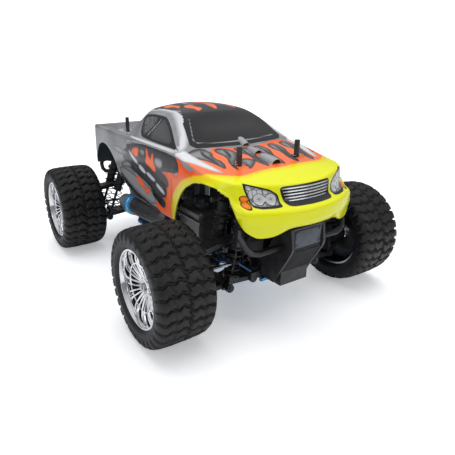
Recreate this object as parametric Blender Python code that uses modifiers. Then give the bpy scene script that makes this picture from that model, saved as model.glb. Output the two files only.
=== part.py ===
"""A 1/10 size glow-engine monster truck: lift-off pickup body, flat chassis, four driven and sprung wheels.

The nose points to -Y, the left side to +X, the floor is z = 0. The helpers take millimetres in a
frame whose y = 0 lies halfway between the axles; Y_SHIFT then moves the truck's box onto the origin.
"""

from math import atan2, cos, pi, radians, sin, sqrt

import bmesh
import bpy
from mathutils import Matrix, Vector

MM = 0.001
Y_SHIFT = 4.25  # puts the middle of the overall length at y = 0
GAP = 0.35  # air between neighbouring pieces

# wheels and track
TYRE_R = 58.0
TYRE_W = 60.0
HALF_TRACK = 127.6
AXLE_Y = 135.0
HUB_Z = TYRE_R
RIM_R = 39.0

# suspension, drawn for the +X side, z up
ARM_IN = (30.0, 43.0)
ARM_OUT = (98.0, 37.0)
ARM_RISE = 43.0  # the upper arm is the lower one moved up by this
KINGPIN_X = 103.0
STEER_ARM = 30.0
SHOCK_DY = 17.0
SHOCK_TOP = {"f": (42.0, 124.0), "r": (52.0, 118.0)}
SHOCK_LOW = {"f": (60.0, 40.4), "r": (82.0, 38.4)}
SHAFT_IN = (21.0, 55.0)
SHAFT_OUT = (KINGPIN_X, HUB_Z)

# body
POST = (38.0, 135.0)
SHELL_T = 1.5
CHASSIS_Z = (40.0, 43.0)
ENGINE = (20.0, 30.0)
SPUR_Y = 62.0

for old in list(bpy.data.objects):
    bpy.data.objects.remove(old, do_unlink=True)

PART = bpy.data.collections.new("rc_monster_truck")
TOOLS = bpy.data.collections.new("cutters_and_joined_shapes")
bpy.context.scene.collection.children.link(PART)
bpy.context.scene.collection.children.link(TOOLS)

MATERIALS = {}


def material(name, colour, metallic, roughness):
    made = bpy.data.materials.new(name)
    made.use_nodes = True
    shader = made.node_tree.nodes["Principled BSDF"]
    shader.inputs["Base Color"].default_value = (*colour, 1.0)
    shader.inputs["Metallic"].default_value = metallic
    shader.inputs["Roughness"].default_value = roughness
    MATERIALS[name] = made


material("tyre_rubber", (0.018, 0.018, 0.018), 0.0, 0.75)
material("chrome", (0.78, 0.78, 0.79), 1.0, 0.14)
material("black_plastic", (0.022, 0.022, 0.024), 0.0, 0.5)
material("blue_anodised", (0.07, 0.24, 0.45), 1.0, 0.3)
material("steel", (0.55, 0.55, 0.56), 1.0, 0.3)
material("spring_steel", (0.05, 0.05, 0.055), 0.8, 0.35)
material("body_paint", (0.85, 0.65, 0.02), 0.0, 0.25)
material("grey_metal", (0.32, 0.32, 0.33), 1.0, 0.45)
material("tank_grey", (0.09, 0.085, 0.08), 0.0, 0.4)
material("alloy", (0.6, 0.6, 0.62), 1.0, 0.35)


def at(x, y, z):
    return Vector((x, y + Y_SHIFT, z)) * MM


def linked(name, mesh, paint=None):
    obj = bpy.data.objects.new(name, mesh)
    PART.objects.link(obj)
    if paint:
        obj.data.materials.append(MATERIALS[paint])
    return obj


def from_bmesh(name, bm, paint=None, smooth=False):
    mesh = bpy.data.meshes.new(name)
    bm.to_mesh(mesh)
    bm.free()
    if smooth:
        mesh.shade_smooth()
        mesh.set_sharp_from_angle(angle=radians(35))
    return linked(name, mesh, paint)


def brick(name, centre, size, turn=None, paint=None, taper=None, bevel=0.0):
    """A box; taper = (x, y) scales its top face."""
    bm = bmesh.new()
    bmesh.ops.create_cube(bm, size=1.0)
    bmesh.ops.scale(bm, vec=Vector(size) * MM, verts=bm.verts)
    if taper:
        top = [v for v in bm.verts if v.co.z > 0]
        bmesh.ops.scale(bm, vec=Vector((taper[0], taper[1], 1.0)), verts=top)
    obj = from_bmesh(name, bm, paint)
    obj.matrix_world = Matrix.Translation(at(*centre)) @ (turn or Matrix.Identity(4))
    if bevel:
        edge = obj.modifiers.new("edge", "BEVEL")
        edge.width = bevel * MM
        edge.segments = 1
        edge.limit_method = "ANGLE"
    return obj


def frame_along(start, axis):
    return Matrix.Translation(start) @ Vector(axis).to_track_quat("Z", "Y").to_matrix().to_4x4()


def rod(name, a, b, r, sides=10, paint=None, r2=None):
    """A cylinder or a cone from a to b."""
    a, b = at(*a), at(*b)
    bm = bmesh.new()
    bmesh.ops.create_cone(
        bm, cap_ends=True, segments=sides, radius1=r * MM,
        radius2=(r if r2 is None else r2) * MM, depth=(b - a).length,
    )
    obj = from_bmesh(name, bm, paint, smooth=True)
    obj.matrix_world = frame_along((a + b) / 2, b - a)
    return obj


def ball(name, centre, r, paint=None):
    bm = bmesh.new()
    bmesh.ops.create_uvsphere(bm, u_segments=6, v_segments=4, radius=r * MM)
    obj = from_bmesh(name, bm, paint, smooth=True)
    obj.location = at(*centre)
    return obj


def turned(name, profile, base, axis, steps=16, paint=None, closed=False):
    """A turned shape: profile holds (radius, height) from the top down its outer side."""
    mesh = bpy.data.meshes.new(name)
    points = [(r * MM, 0.0, h * MM) for r, h in profile]
    edges = [(i, i + 1) for i in range(len(points) - 1)]
    if closed:
        edges.append((len(points) - 1, 0))
    mesh.from_pydata(points, edges, [])
    obj = linked(name, mesh, paint)
    obj.matrix_world = frame_along(at(*base), Vector(axis))
    screw = obj.modifiers.new("turn", "SCREW")
    screw.axis = "Z"
    screw.steps = screw.render_steps = steps
    screw.use_merge_vertices = True
    screw.merge_threshold = 1e-5
    screw.use_smooth_shade = False
    return obj


def mesh_of(curve_obj, name, paint):
    bpy.context.view_layer.update()
    graph = bpy.context.evaluated_depsgraph_get()
    mesh = bpy.data.meshes.new_from_object(curve_obj.evaluated_get(graph))
    bm = bmesh.new()
    bm.from_mesh(mesh)
    bmesh.ops.remove_doubles(bm, verts=bm.verts, dist=1e-6)
    bmesh.ops.recalc_face_normals(bm, faces=bm.faces)
    bm.to_mesh(mesh)
    bm.free()
    mesh.materials.clear()
    place = curve_obj.matrix_world.copy()
    bpy.data.objects.remove(curve_obj, do_unlink=True)
    obj = linked(name, mesh, paint)
    obj.matrix_world = place
    return obj


def pipe(name, points, r, paint=None, resolution=2, cyclic=False):
    """A round tube through the points."""
    curve = bpy.data.curves.new(name + "_path", "CURVE")
    curve.dimensions = "3D"
    curve.bevel_depth = r * MM
    curve.bevel_resolution = resolution
    curve.use_fill_caps = True
    spline = curve.splines.new("POLY")
    spline.points.add(len(points) - 1)
    for point, place in zip(spline.points, points):
        point.co = (*at(*place), 1.0)
    spline.use_cyclic_u = cyclic
    obj = bpy.data.objects.new(name + "_path", curve)
    PART.objects.link(obj)
    return mesh_of(obj, name, paint)


def plate(name, outline, thickness, centre, across, up, paint=None):
    """A flat outline, given along the directions across and up, with its thickness about centre."""
    curve = bpy.data.curves.new(name + "_outline", "CURVE")
    curve.dimensions = "2D"
    curve.fill_mode = "BOTH"
    curve.extrude = thickness / 2 * MM
    spline = curve.splines.new("POLY")
    spline.points.add(len(outline) - 1)
    for point, (u, v) in zip(spline.points, outline):
        point.co = (u * MM, v * MM, 0.0, 1.0)
    spline.use_cyclic_u = True
    obj = bpy.data.objects.new(name + "_outline", curve)
    PART.objects.link(obj)
    across, up = Vector(across), Vector(up)
    turn = Matrix((across, up, across.cross(up))).transposed().to_4x4()
    obj.matrix_world = Matrix.Translation(at(*centre)) @ turn
    return mesh_of(obj, name, paint)


def to_tools(obj):
    PART.objects.unlink(obj)
    TOOLS.objects.link(obj)
    obj.hide_render = True
    obj.display_type = "WIRE"


def combine(base, shapes, operation):
    for shape in shapes:
        boolean = base.modifiers.new(operation.lower(), "BOOLEAN")
        boolean.operation = operation
        boolean.solver = "EXACT"
        boolean.object = shape
        to_tools(shape)
    return base


def join(base, *shapes):
    return combine(base, shapes, "UNION")


def cut(base, *shapes):
    return combine(base, shapes, "DIFFERENCE")


X, Y, Z = (1.0, 0.0, 0.0), (0.0, 1.0, 0.0), (0.0, 0.0, 1.0)
CORNERS = {"fl": (1, -1), "fr": (-1, -1), "rl": (1, 1), "rr": (-1, 1)}


def ring_y(name, x, y, z, r_out, r_in, half, sides=10, paint=None):
    """A short tube along Y: a hinge barrel."""
    profile = [(r_in, half), (r_out, half), (r_out, -half), (r_in, -half)]
    return turned(name, profile, (x, y, z), Y, sides, paint, closed=True)


# ---------------------------------------------------------------- wheels
def wheel(corner, s, e):
    y = AXLE_Y * e
    centre = (HALF_TRACK * s, y, HUB_Z)
    out = (s, 0.0, 0.0)
    half = TYRE_W / 2
    # the tyre is a hollow ring seated on the rim's outside, its height measured outwards along the axle
    tyre = [
        (RIM_R + 0.4, half - 4.0), (46.0, half), (54.5, half - 1.5), (TYRE_R, half - 8.5),
        (TYRE_R, -(half - 8.5)), (54.5, -(half - 1.5)), (46.0, -half), (RIM_R + 0.4, -(half - 8.0)),
    ]
    turned(f"tyre_{corner}", tyre, centre, out, 24, "tyre_rubber", closed=True)

    # the rim: a barrel with rolled lips, an outer web set back behind the lip
    lip, inner = 26.2, -22.0
    barrel = [
        (36.6, lip), (RIM_R, lip), (RIM_R, inner), (36.6, inner),
    ]
    rim = turned(f"rim_{corner}", barrel, centre, out, 20, "chrome", closed=True)
    hub = rod("hub", (centre[0] + 5.0 * s, y, HUB_Z), (centre[0] + 19.5 * s, y, HUB_Z), 10.0, 10)
    spokes = []
    for k in range(3):
        turn = Matrix.Rotation(k * pi / 3, 4, "X")
        spokes.append(brick("spoke", (centre[0] + 14.0 * s, y, HUB_Z), (5.0, 5.0, 75.0), turn))
    # stub axle with its drive cup, hex and wheel nut
    axle = [(0.0, 30.0), (3.0, 30.0), (3.0, 26.0), (5.5, 26.0), (5.5, 20.0), (5.0, 0.0), (7.0, 0.0), (7.0, -22.0),
            (4.8, -22.0), (4.8, -9.0), (0.0, -9.0)]
    stub = turned("stub_axle", axle, (119.0 * s, y, HUB_Z), out, 8)
    hexagon = rod("hex", (123.0 * s, y, HUB_Z), (134.0 * s, y, HUB_Z), 8.0, 6)
    join(rim, hub, *spokes, stub, hexagon)


# ---------------------------------------------------------------- arms
def arm(name, corner, s, e, rise, inner_half, widths, paint="black_plastic"):
    """A suspension arm with a barrel at its inner pin and a two-eared fork that holds the outer pin."""
    y = AXLE_Y * e
    (xi, zi), (xo, zo) = ARM_IN, ARM_OUT
    zi, zo = zi + rise, zo + rise
    barrel = ring_y(f"{name}_{corner}", xi * s, y, zi, 4.2, 2.1, inner_half, 8, paint)
    slope = atan2(zo - zi, xo - xi)
    length = sqrt((xo - xi) ** 2 + (zo - zi) ** 2)
    along = (cos(slope) * s, 0.0, sin(slope))
    outline = [(3.2, widths[0]), (20.0, widths[1]), (length - 6.0, widths[2]), (length - 6.0, -widths[2]), (20.0, -widths[1]), (3.2, -widths[0])]
    web = plate("web", outline, 5.0, (xi * s, y, zi), along, Y)
    shapes = [web]
    ear_in, ear_out = 6.5, widths[3]
    for side in (-1, 1):
        a, b = y + side * ear_in, y + side * ear_out
        shapes.append(rod("ear", (xo * s, a, zo), (xo * s, b, zo), 4.2, 8))
        mid = (a + b) / 2
        turn = Matrix.Rotation(-slope * s, 4, "Y")
        centre = (s * (xo - 5.0 * cos(slope)), mid, zo - 5.0 * sin(slope))
        shapes.append(brick("ear_root", centre, (9.0, ear_out - ear_in - 0.8, 4.6), turn))
    shapes.append(rod("outer_pin", (xo * s, y - ear_out + 0.5, zo), (xo * s, y + ear_out - 0.5, zo), 1.8, 6))
    return join(barrel, *shapes)


def suspension(corner, s, e):
    axle = "f" if e < 0 else "r"
    y = AXLE_Y * e
    mx, mz = SHOCK_LOW[axle]
    lower = arm("lower_arm", corner, s, e, 0.0, 17.0, (15.5, 11.4, 11.4, 10.5))
    join(lower, rod("mount_boss", (mx * s, y - 11.6, mz), (mx * s, y + 11.6, mz), 6.0, 8))
    cut(lower, rod("mount_hole", (mx * s, y - 14, mz), (mx * s, y + 14, mz), 3.6, 8))
    # the window between the arm's legs
    window_x = 47.0 if axle == "r" else 79.0
    cut(lower, brick("window", (window_x * s, y, 40.0), (20.0 if axle == "r" else 16.0, 11.0, 24.0)))
    arm("upper_arm", corner, s, e, ARM_RISE, 12.0, (6.0, 5.0, 9.5, 9.5))

    # dampers: a pair on one through-bolt at the tower, and on one cross pin at the arm
    tx, tz = SHOCK_TOP[axle]
    top = Vector((tx * s, y, tz))
    low = Vector((mx * s, y, mz))
    down = (low - top).normalized()
    length = (low - top).length
    bolt = rod(f"shock_body_{corner}", (tx * s, y - 21.8, tz), (tx * s, y + 21.8, tz), 2.0, 8, "black_plastic")
    pin = rod(f"shock_rod_{corner}", (mx * s, y - 21.8, mz), (mx * s, y + 21.8, mz), 2.0, 8, "steel")
    bodies, rods = [], []
    for side in (-1, 1):
        dy = Vector((0.0, side * SHOCK_DY, 0.0))
        a, b = top + dy, low + dy
        bodies.append(rod("eye", a - Vector((0, 4.0, 0)), a + Vector((0, 4.0, 0)), 4.5, 8))
        can = [(0.0, -3.0), (6.2, -4.5), (6.2, -14.0), (8.6, -14.0), (8.6, -17.0), (6.2, -17.0), (6.2, -44.0), (2.6, -44.0), (2.6, -15.0), (0.0, -15.0)]
        bodies.append(turned("can", can, a, -down, 8))
        rods.append(rod("low_eye", b - Vector((0, 4.0, 0)), b + Vector((0, 4.0, 0)), 4.5, 8))
        stem = [(0.0, length - 28.0), (1.9, length - 28.0), (1.9, 14.0), (8.6, 14.0), (8.6, 11.5), (3.6, 9.5), (3.4, 2.0), (0.0, 2.0)]
        rods.append(turned("stem", stem, b, -down, 8))
        coil_spring(f"spring_{corner}_{'front' if side < 0 else 'rear'}", a, down, 17.5, length - 14.5)
    join(bolt, *bodies)
    join(pin, *rods)

    # dogbone driveshaft
    inner = Vector((SHAFT_IN[0] * s, y, SHAFT_IN[1]))
    outer = Vector((SHAFT_OUT[0] * s, y, SHAFT_OUT[1]))
    shaft = rod(f"driveshaft_{corner}", inner, outer, 1.9, 6, "steel")
    join(shaft, ball("inner_ball", inner, 2.9), ball("outer_ball", outer, 2.9))


def coil_spring(name, top, down, start, end):
    """Open-wound wire around the damper's axis."""
    wire, radius, turns, per_turn = 0.8, 7.9, 4.5, 6
    side = down.cross(Vector(Y)).normalized()
    other = down.cross(side).normalized()
    count = int(turns * per_turn)
    points = []
    for i in range(count + 1):
        angle = 2 * pi * i / per_turn
        share = i / count
        along = start + wire + (end - start - 2 * wire) * share
        points.append(top + down * along + (side * cos(angle) + other * sin(angle)) * radius)
    pipe(name, points, wire, "spring_steel", resolution=0)


# ---------------------------------------------------------------- hubs
def front_hub(corner, s, e):
    y = AXLE_Y * e
    xo, zo = ARM_OUT
    top = zo + ARM_RISE
    hub = rod(f"c_hub_{corner}", (xo * s, y - 6.1, zo), (xo * s, y + 6.1, zo), 4.0, 10, "black_plastic")
    join(
        hub,
        rod("upper_lug", (xo * s, y - 6.1, top), (xo * s, y + 6.1, top), 4.0, 10),
        brick("lower_web", (98.0 * s, y, 40.0), (7.0, 12.0, 6.0)),
        brick("lower_leg", (98.5 * s, y, 44.3), (21.0, 16.0, 3.6)),
        brick("upper_leg", (98.5 * s, y, 72.0), (21.0, 16.0, 3.6)),
        brick("upper_web", (98.0 * s, y, 76.0), (7.0, 12.0, 7.0)),
        brick("spine", (90.3 * s, y, 58.2), (4.6, 25.0, 31.2)),
    )
    cut(
        hub,
        rod("shaft_way", (80 * s, y, HUB_Z), (94.5 * s, y, HUB_Z), 9.0, 12),
        rod("kingpin_hole", (KINGPIN_X * s, y, 39.0), (KINGPIN_X * s, y, 76.0), 3.2, 10),
        rod("lower_hole", (xo * s, y - 9, zo), (xo * s, y + 9, zo), 2.3, 8),
        rod("upper_hole", (xo * s, y - 9, top), (xo * s, y + 9, top), 2.3, 8),
    )
    knuckle = rod(f"knuckle_{corner}", (KINGPIN_X * s, y, 42.9), (KINGPIN_X * s, y, 73.6), 2.5, 10, "black_plastic")
    arm_y = y + STEER_ARM
    join(
        knuckle,
        rod("bearing_tube", (99.5 * s, y, HUB_Z), (118.5 * s, y, HUB_Z), 10.8, 14),
        brick("steer_arm", (KINGPIN_X * s, y + 18.0, 49.2), (6.0, 24.0, 3.0)),
        rod("arm_eye", (KINGPIN_X * s, arm_y, 47.7), (KINGPIN_X * s, arm_y, 50.7), 3.4, 10),
        brick("arm_root", (104.5 * s, y + 9.0, 51.5), (7.0, 8.0, 7.0)),
    )
    cut(knuckle, rod("bearing_bore", (95 * s, y, HUB_Z), (125 * s, y, HUB_Z), 7.5, 14))
    # track rod over the steering arms
    z = 57.2
    tie = rod(f"tie_rod_{corner[1]}", (30.0 * s, arm_y, z), (KINGPIN_X * s, arm_y, z), 1.6, 8, "steel")
    join(
        tie,
        rod("outer_end", (KINGPIN_X * s, arm_y, 54.2), (KINGPIN_X * s, arm_y, 60.0), 2.6, 10),
        rod("inner_end", (30.0 * s, arm_y, 54.4), (30.0 * s, arm_y, 60.0), 3.4, 10),
    )


def rear_hub(corner, s, e):
    y = AXLE_Y * e
    xo, zo = ARM_OUT
    top = zo + ARM_RISE
    hub = rod(f"hub_carrier_{corner}", (xo * s, y - 6.1, zo), (xo * s, y + 6.1, zo), 4.0, 10, "black_plastic")
    join(
        hub,
        rod("upper_lug", (xo * s, y - 6.1, top), (xo * s, y + 6.1, top), 4.0, 10),
        brick("web", (99.5 * s, y, 58.5), (8.0, 12.2, 43.0)),
        rod("bearing_tube", (96.5 * s, y, HUB_Z), (118.5 * s, y, HUB_Z), 10.8, 14),
    )
    cut(
        hub,
        rod("bearing_bore", (90 * s, y, HUB_Z), (125 * s, y, HUB_Z), 7.5, 14),
        rod("lower_hole", (xo * s, y - 9, zo), (xo * s, y + 9, zo), 2.3, 8),
        rod("upper_hole", (xo * s, y - 9, top), (xo * s, y + 9, top), 2.3, 8),
    )


# ---------------------------------------------------------------- chassis
def chassis():
    low, high = CHASSIS_Z
    outline = [(24, -160), (24, -112), (40, -96), (58, -60), (58, 70), (40, 100), (24, 112), (24, 160)]
    outline = outline + [(-x, y) for x, y in reversed(outline)]
    base = plate("chassis_plate", outline, high - low, (0, 0, (low + high) / 2), X, Y, "blue_anodised")
    # room for the lower arms' inner barrels
    for e in (-1, 1):
        for s in (-1, 1):
            cut(base, brick("arm_room", (31.0 * s, AXLE_Y * e, 41.5), (20.0, 44.0, 8.0)))
    cut(base, brick("spur_gear_slot", (0, SPUR_Y + 1, 41.5), (32.0, 14.0, 8.0)))
    # two blocks under the steering slider
    for s in (-1, 1):
        join(base, brick("slider_guide", (14.0 * s, -AXLE_Y + STEER_ARM, 45.1), (8.0, 5.0, 4.6)))


def gearbox(which, e):
    """Final-drive housing with the arms' inner pins."""
    y = AXLE_Y * e
    z0 = CHASSIS_Z[1] + GAP
    box = brick(f"diff_housing_{which}", (0, y, (z0 + 90.0) / 2), (38.0, 36.0, 90.0 - z0), paint="black_plastic", taper=(0.84, 0.9))
    shapes = [rod("boss", (-24.0, y, SHAFT_IN[1]), (24.0, y, SHAFT_IN[1]), 8.0, 10)]
    for s in (-1, 1):
        for side in (-1, 1):
            zi = ARM_IN[1]
            yy = y + side * 19.2
            shapes.append(brick("lower_ear", (24.0 * s, yy, 47.0), (20.0, 3.4, 7.3)))
            shapes.append(rod("lower_ear_eye", (30.0 * s, yy - 1.5, zi), (30.0 * s, yy + 1.5, zi), 4.2, 8))
            yy = y + side * 14.2
            shapes.append(brick("upper_ear", (24.0 * s, yy, zi + ARM_RISE), (20.0, 3.2, 7.0)))
        shapes.append(rod("lower_pin", (30.0 * s, y - 20.5, ARM_IN[1]), (30.0 * s, y + 20.5, ARM_IN[1]), 1.7, 6))
        zu = ARM_IN[1] + ARM_RISE
        shapes.append(rod("upper_pin", (30.0 * s, y - 15.5, zu), (30.0 * s, y + 15.5, zu), 1.7, 6))
    # tail of the housing that takes the centre shaft
    shapes.append(brick("input_nose", (0, y - 20.0 * e, 55.0), (18.0, 10.0, 18.0)))
    join(box, *shapes)
    for s in (-1, 1):
        cut(box, rod("cup", (14.5 * s, y, SHAFT_IN[1]), (30.0 * s, y, SHAFT_IN[1]), 5.9, 10))
    cut(box, rod("input_bore", (0, y - 12.0 * e, 55.0), (0, y - 30.0 * e, 55.0), 3.2, 10))


def tower(which, e):
    """Damper tower plate with the two body posts."""
    y = AXLE_Y * e
    tx, tz = SHOCK_TOP[which[0]]
    low = 90.0 + GAP
    right = [(16, low), (19, 97), (tx - 4, 106), (tx + 5, tz - 6), (tx + 5, tz + 4), (tx - 3, tz + 7), (30, tz + 8), (20, tz - 2)]
    outline = right + [(-x, z) for x, z in reversed(right)]
    base = plate(f"shock_tower_{which}", outline, 4.0, (0, y, 0), X, Z, "black_plastic")
    shapes = []
    for s in (-1, 1):
        shapes.append(rod("post", (POST[0] * s, y, tz - 6), (POST[0] * s, y, 178.0), 2.9, 8))
    join(base, *shapes)
    for s in (-1, 1):
        cut(base, rod("damper_hole", (tx * s, y - 6, tz), (tx * s, y + 6, tz), 2.5, 8))
    cut(base, brick("lightening", (0, y, 106), (18, 10, 14)))


def bumper(which, e):
    """Skid plate, side brackets and tube loops at one end."""
    name = f"{which}_bumper"
    tilt = Matrix.Rotation(-e * atan2(17.5, 31.0), 4, "X")
    skid = brick(name, (0, 186.0 * e, 72.0), (43.0, 4.0, 37.0), tilt, "black_plastic")
    shapes = [
        brick("foot", (0, 171.0 * e, 51.0), (36.0, 22.0, 15.0)),
        brick("cross_plate", (0, 194.5 * e, 98.0), (40.0, 3.0, 22.0)),
    ]
    for s in (-1, 1):
        side = [(157.0, 46.0), (157.0, 66.0), (176.0, 100.0), (190.0, 111.0), (196.0, 109.0), (199.0, 90.0), (197.0, 84.0), (181.0, 56.0), (176.0, 46.0)]
        shapes.append(plate("cheek", [(yy * e, zz) for yy, zz in side], 3.0, (20.6 * s, 0, 0), Y, Z))
        loop = [(20, 184, 88), (52, 186, 88.5), (59, 185, 90.5), (64, 182, 96), (67, 177.5, 105), (65.5, 175.5, 110), (60, 174, 112), (48, 173, 109), (20.5, 172, 96)]
        shapes.append(pipe("loop", [(x * s, yy * e, zz) for x, yy, zz in loop], 3.1))
    join(skid, *shapes)


# ---------------------------------------------------------------- engine side
def power():
    z0 = CHASSIS_Z[1] + GAP
    ex, ey = ENGINE
    block = brick("engine", (ex, ey, (z0 + 74) / 2), (29.0, 38.0, 74 - z0), paint="grey_metal")
    fins = [(0.0, 128.0), (9.0, 128.0)]
    z = 124.0
    for _ in range(4):
        fins += [(17.5, z), (17.5, z - 3.0), (13.0, z - 3.0), (13.0, z - 6.0)]
        z -= 6.2
    fins += [(15.0, z), (15.0, 72.0), (0.0, 72.0)]
    join(
        block,
        turned("cylinder", fins, (ex, ey, 0), Z, 12),
        rod("carburettor", (ex, ey + 24, 72), (ex, ey + 24, 92), 6.5, 8),
        brick("carb_neck", (ex, ey + 18, 71), (12, 16, 10)),
        rod("air_filter", (ex, ey + 24, 91), (ex, ey + 24, 112), 13.0, 12, r2=11.0),
        rod("pull_start", (ex, ey - 28, 60), (ex, ey - 18, 60), 14.5, 12),
        rod("clutch_pinion", (ex, ey + 18, 60), (ex, ey + 36, 60), 5.0, 8),
        brick("exhaust_port", (ex - 19, ey, 84), (14, 16, 12)),
    )
    path = [(ex - 26.5, ey), (ex - 42, ey), (ex - 56, ey - 6), (ex - 62, ey - 20), (ex - 62, ey - 38), (ex - 64, ey - 46), (ex - 71.5, ey - 48)]
    header = pipe("exhaust_header", [(x, y, 84.0 - 0.35 * k) for k, (x, y) in enumerate(path)], 4.4, "steel", resolution=2)

    # silencer along the right side, rear end lower
    a, b = Vector((-66.0, -44.0, 81.5)), Vector((-66.0, 103.0, 66.5))
    back = (b - a).normalized()
    length = (b - a).length
    can = [(0.0, length), (4.5, length), (4.5, length - 10), (10.5, length - 13), (12.0, length - 34), (13.6, length - 36), (15.0, length - 38), (15.0, length - 47), (13.4, length - 49), (13.4, 6.0), (9.0, 0.0), (0.0, 0.0)]
    silencer = turned("silencer", can, a, back, 14, "grey_metal")
    cut(silencer, rod("outlet", b + back * 5, b - back * 12, 2.8, 8))
    silencer_stay = brick("stay", (-56.0, 30.0, 57.0), (4.0, 8.0, 27.3))
    join(silencer, silencer_stay)

    tank = brick("fuel_tank", (-39, -72, 80.0), (38.0, 48.0, 44.0), paint="tank_grey", bevel=3.0)
    join(
        tank,
        brick("seam", (-39, -72, 91.0), (43.0, 53.0, 2.6)),
        rod("neck", (-42, -76, 100), (-42, -76, 107), 9.0, 14),
        brick("feet", (-39, -72, (z0 + 60) / 2), (20.0, 30.0, 60 - z0)),
        brick("hinge_block", (-42, -63.5, 104.0), (6.0, 5.0, 6.0)),
    )
    cap = rod("tank_cap", (-48, -63.0, 110.2), (-36, -63.0, 110.2), 2.2, 8, "black_plastic")
    join(
        cap,
        rod("lid", (-42, -76, 107.5), (-42, -76, 113.0), 10.4, 16, r2=9.0),
        brick("strap", (-42, -68.5, 110.5), (9.0, 10.0, 3.0)),
        brick("pull_tab", (-42, -88.0, 109.2), (5.0, 6.0, 2.4)),
    )

    box = brick("radio_box", (42, -58, (z0 + 72) / 2), (30.0, 62.0, 72 - z0), paint="black_plastic", bevel=2.0)
    join(
        box,
        brick("lid", (42, -58, 73.5), (33.0, 65.0, 4.0), bevel=1.0),
        brick("throttle_servo", (34, -18, (z0 + 78) / 2), (20.0, 30.0, 78 - z0)),
        rod("servo_horn", (34, -20, 76), (34, -20, 83), 5.0, 8),
    )


def drive_line():
    z = 55.0
    shaft = rod("centre_drive", (0, -AXLE_Y + 19.0, z), (0, AXLE_Y - 19.0, z), 2.4, 8, "steel")
    # the shaft carries the spur gear behind the engine
    teeth, r0, r1 = 16, 12.2, 14.0
    outline = []
    for k in range(teeth):
        for share, r in ((0.0, r0), (0.35, r1), (0.65, r1)):
            angle = 2 * pi * (k + share) / teeth
            outline.append((r * cos(angle), r * sin(angle)))
    gear = plate("spur_gear", outline, 5.0, (0, SPUR_Y, z), (1, 0, 0), (0, 0, 1))
    brake = rod("brake_disc", (0, SPUR_Y + 12, z), (0, SPUR_Y + 13.6, z), 11.0, 14)
    join(shaft, gear, brake)


def steering():
    y = -AXLE_Y + STEER_ARM  # line of the track rods
    slider = brick("steering_slider", (0, y, 49.2), (58.0, 6.0, 2.8), paint="black_plastic")
    join(
        slider,
        rod("slider_end", (-30, y, 47.7), (-30, y, 50.7), 3.5, 10),
        rod("slider_end", (30, y, 47.7), (30, y, 50.7), 3.5, 10),
        brick("servo_tab", (0, y + 9.0, 49.2), (8.0, 14.0, 2.6)),
    )


# ---------------------------------------------------------------- body shell
def between(value, table):
    """Straight-line table look-up."""
    if value <= table[0][0]:
        return table[0][1]
    for (a, fa), (b, fb) in zip(table, table[1:]):
        if value <= b:
            return fa + (fb - fa) * (value - a) / (b - a)
    return table[-1][1]


def soft_min(a, b, radius):
    """Smaller of the two, rounded where they cross."""
    h = max(radius - abs(a - b), 0.0) / radius
    return min(a, b) - h * h * radius * 0.25


ROWS = [
    # centre y, half-width at the belt, bow of the row (y grows with x squared)
    (-191.0, 68.0, 0.0047), (-183.0, 74.0, 0.0046), (-160.0, 79.0, 0.0042), (-130.0, 80.0, 0.0035), (-100.0, 79.5, 0.0027),
    (-94.0, 79.2, 0.0025), (-70.0, 79.0, 0.0017), (-51.0, 79.0, 0.0011), (-43.0, 79.0, 0.0009), (-20.0, 79.0, 0.0004), (10.0, 79.0, 0.0),
    (33.0, 79.0, 0.0), (38.0, 79.2, 0.0), (47.5, 79.4, 0.0), (51.0, 79.5, 0.0), (100.0, 80.0, 0.0), (158.0, 78.0, 0.0),
    (161.0, 77.8, 0.0), (166.0, 77.0, 0.0),
]
COLUMNS = [0.0, 0.28, 0.46, 0.6, 0.72, 0.86, 0.9, 0.955, 1.0]
BELT = [(-191, 150.5), (-170, 153), (-135, 157), (-90, 166), (-60, 167.5), (15, 168), (170, 167.7)]


def top_height(x, y):
    """Height of the bonnet, cab and bed over a point of the plan."""
    x = abs(x)
    belt = between(y, BELT)
    bow = 0.0047 * x * x * max(0.0, min(1.0, (-60.0 - y) / 100.0))
    if y > 44.0 and x < 90.0:
        # bed: rails all round a sunken floor
        depth = 10.5
        edge = min(78.0 - 6.0 - x, y - 47.0, 159.5 - y)
        deck = belt - depth * max(0.0, min(1.0, edge / 2.6))
    else:
        deck = belt + 4.5 * (1.0 - (x / 80.0) ** 2) * between(y, [(-191, 0.15), (-160, 0.8), (-90, 1.0), (-60, 0.6), (40, 0.2)])
    screen = 170.6 + 0.635 * (y + 95.0 - 0.0025 * x * x)
    side = 168.5 + (76.5 - x) * 1.087
    roof = 207.7 - 0.0026 * x * x - 0.0019 * (y + 4.0) ** 2
    back = 201.0 - (y - 36.0) * 3.4
    cab = soft_min(soft_min(soft_min(screen, side, 5.0), roof, 5.0), back, 4.0)
    return max(deck, cab)


def body_point(i, t):
    yc, w, bow = ROWS[i]
    x = w * t
    y = yc + bow * x * x
    return x, y, top_height(x, y)


def wall_offsets(x, y, nose, tail):
    """(outward x, outward y, z) down the wall from the belt."""
    if nose:
        low = between(x, [(0, 114.5), (29, 114.5), (40, 107.5), (60, 105.0), (68, 112.0)])
        return [(0.0, -3.0, 136.5), (0.3, -15.5, 131.5), (1.0, -16.5, 120.0), (0.5, -13.5, low)]
    if tail:
        return [(0.5, 1.0, 150.0), (0.5, 1.5, 132.0), (0.3, 1.0, 122.0), (0.0, 0.0, 110.7)]
    swell = between(y, [(-170, 0.6), (-150, 1.0), (-100, 1.0), (0, 0.8), (100, 0.15), (170, 0.1)])
    low = between(y, [(-160, 100.0), (-80, 94.0), (60, 94.0), (160, 105.0), (166, 110.7)])
    return [(4.2 * swell, 0.0, 149.0), (5.0 * swell, 0.0, 132.0), (4.4 * swell, 0.0, 116.0), (2.0 * swell, 0.0, low)]


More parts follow.
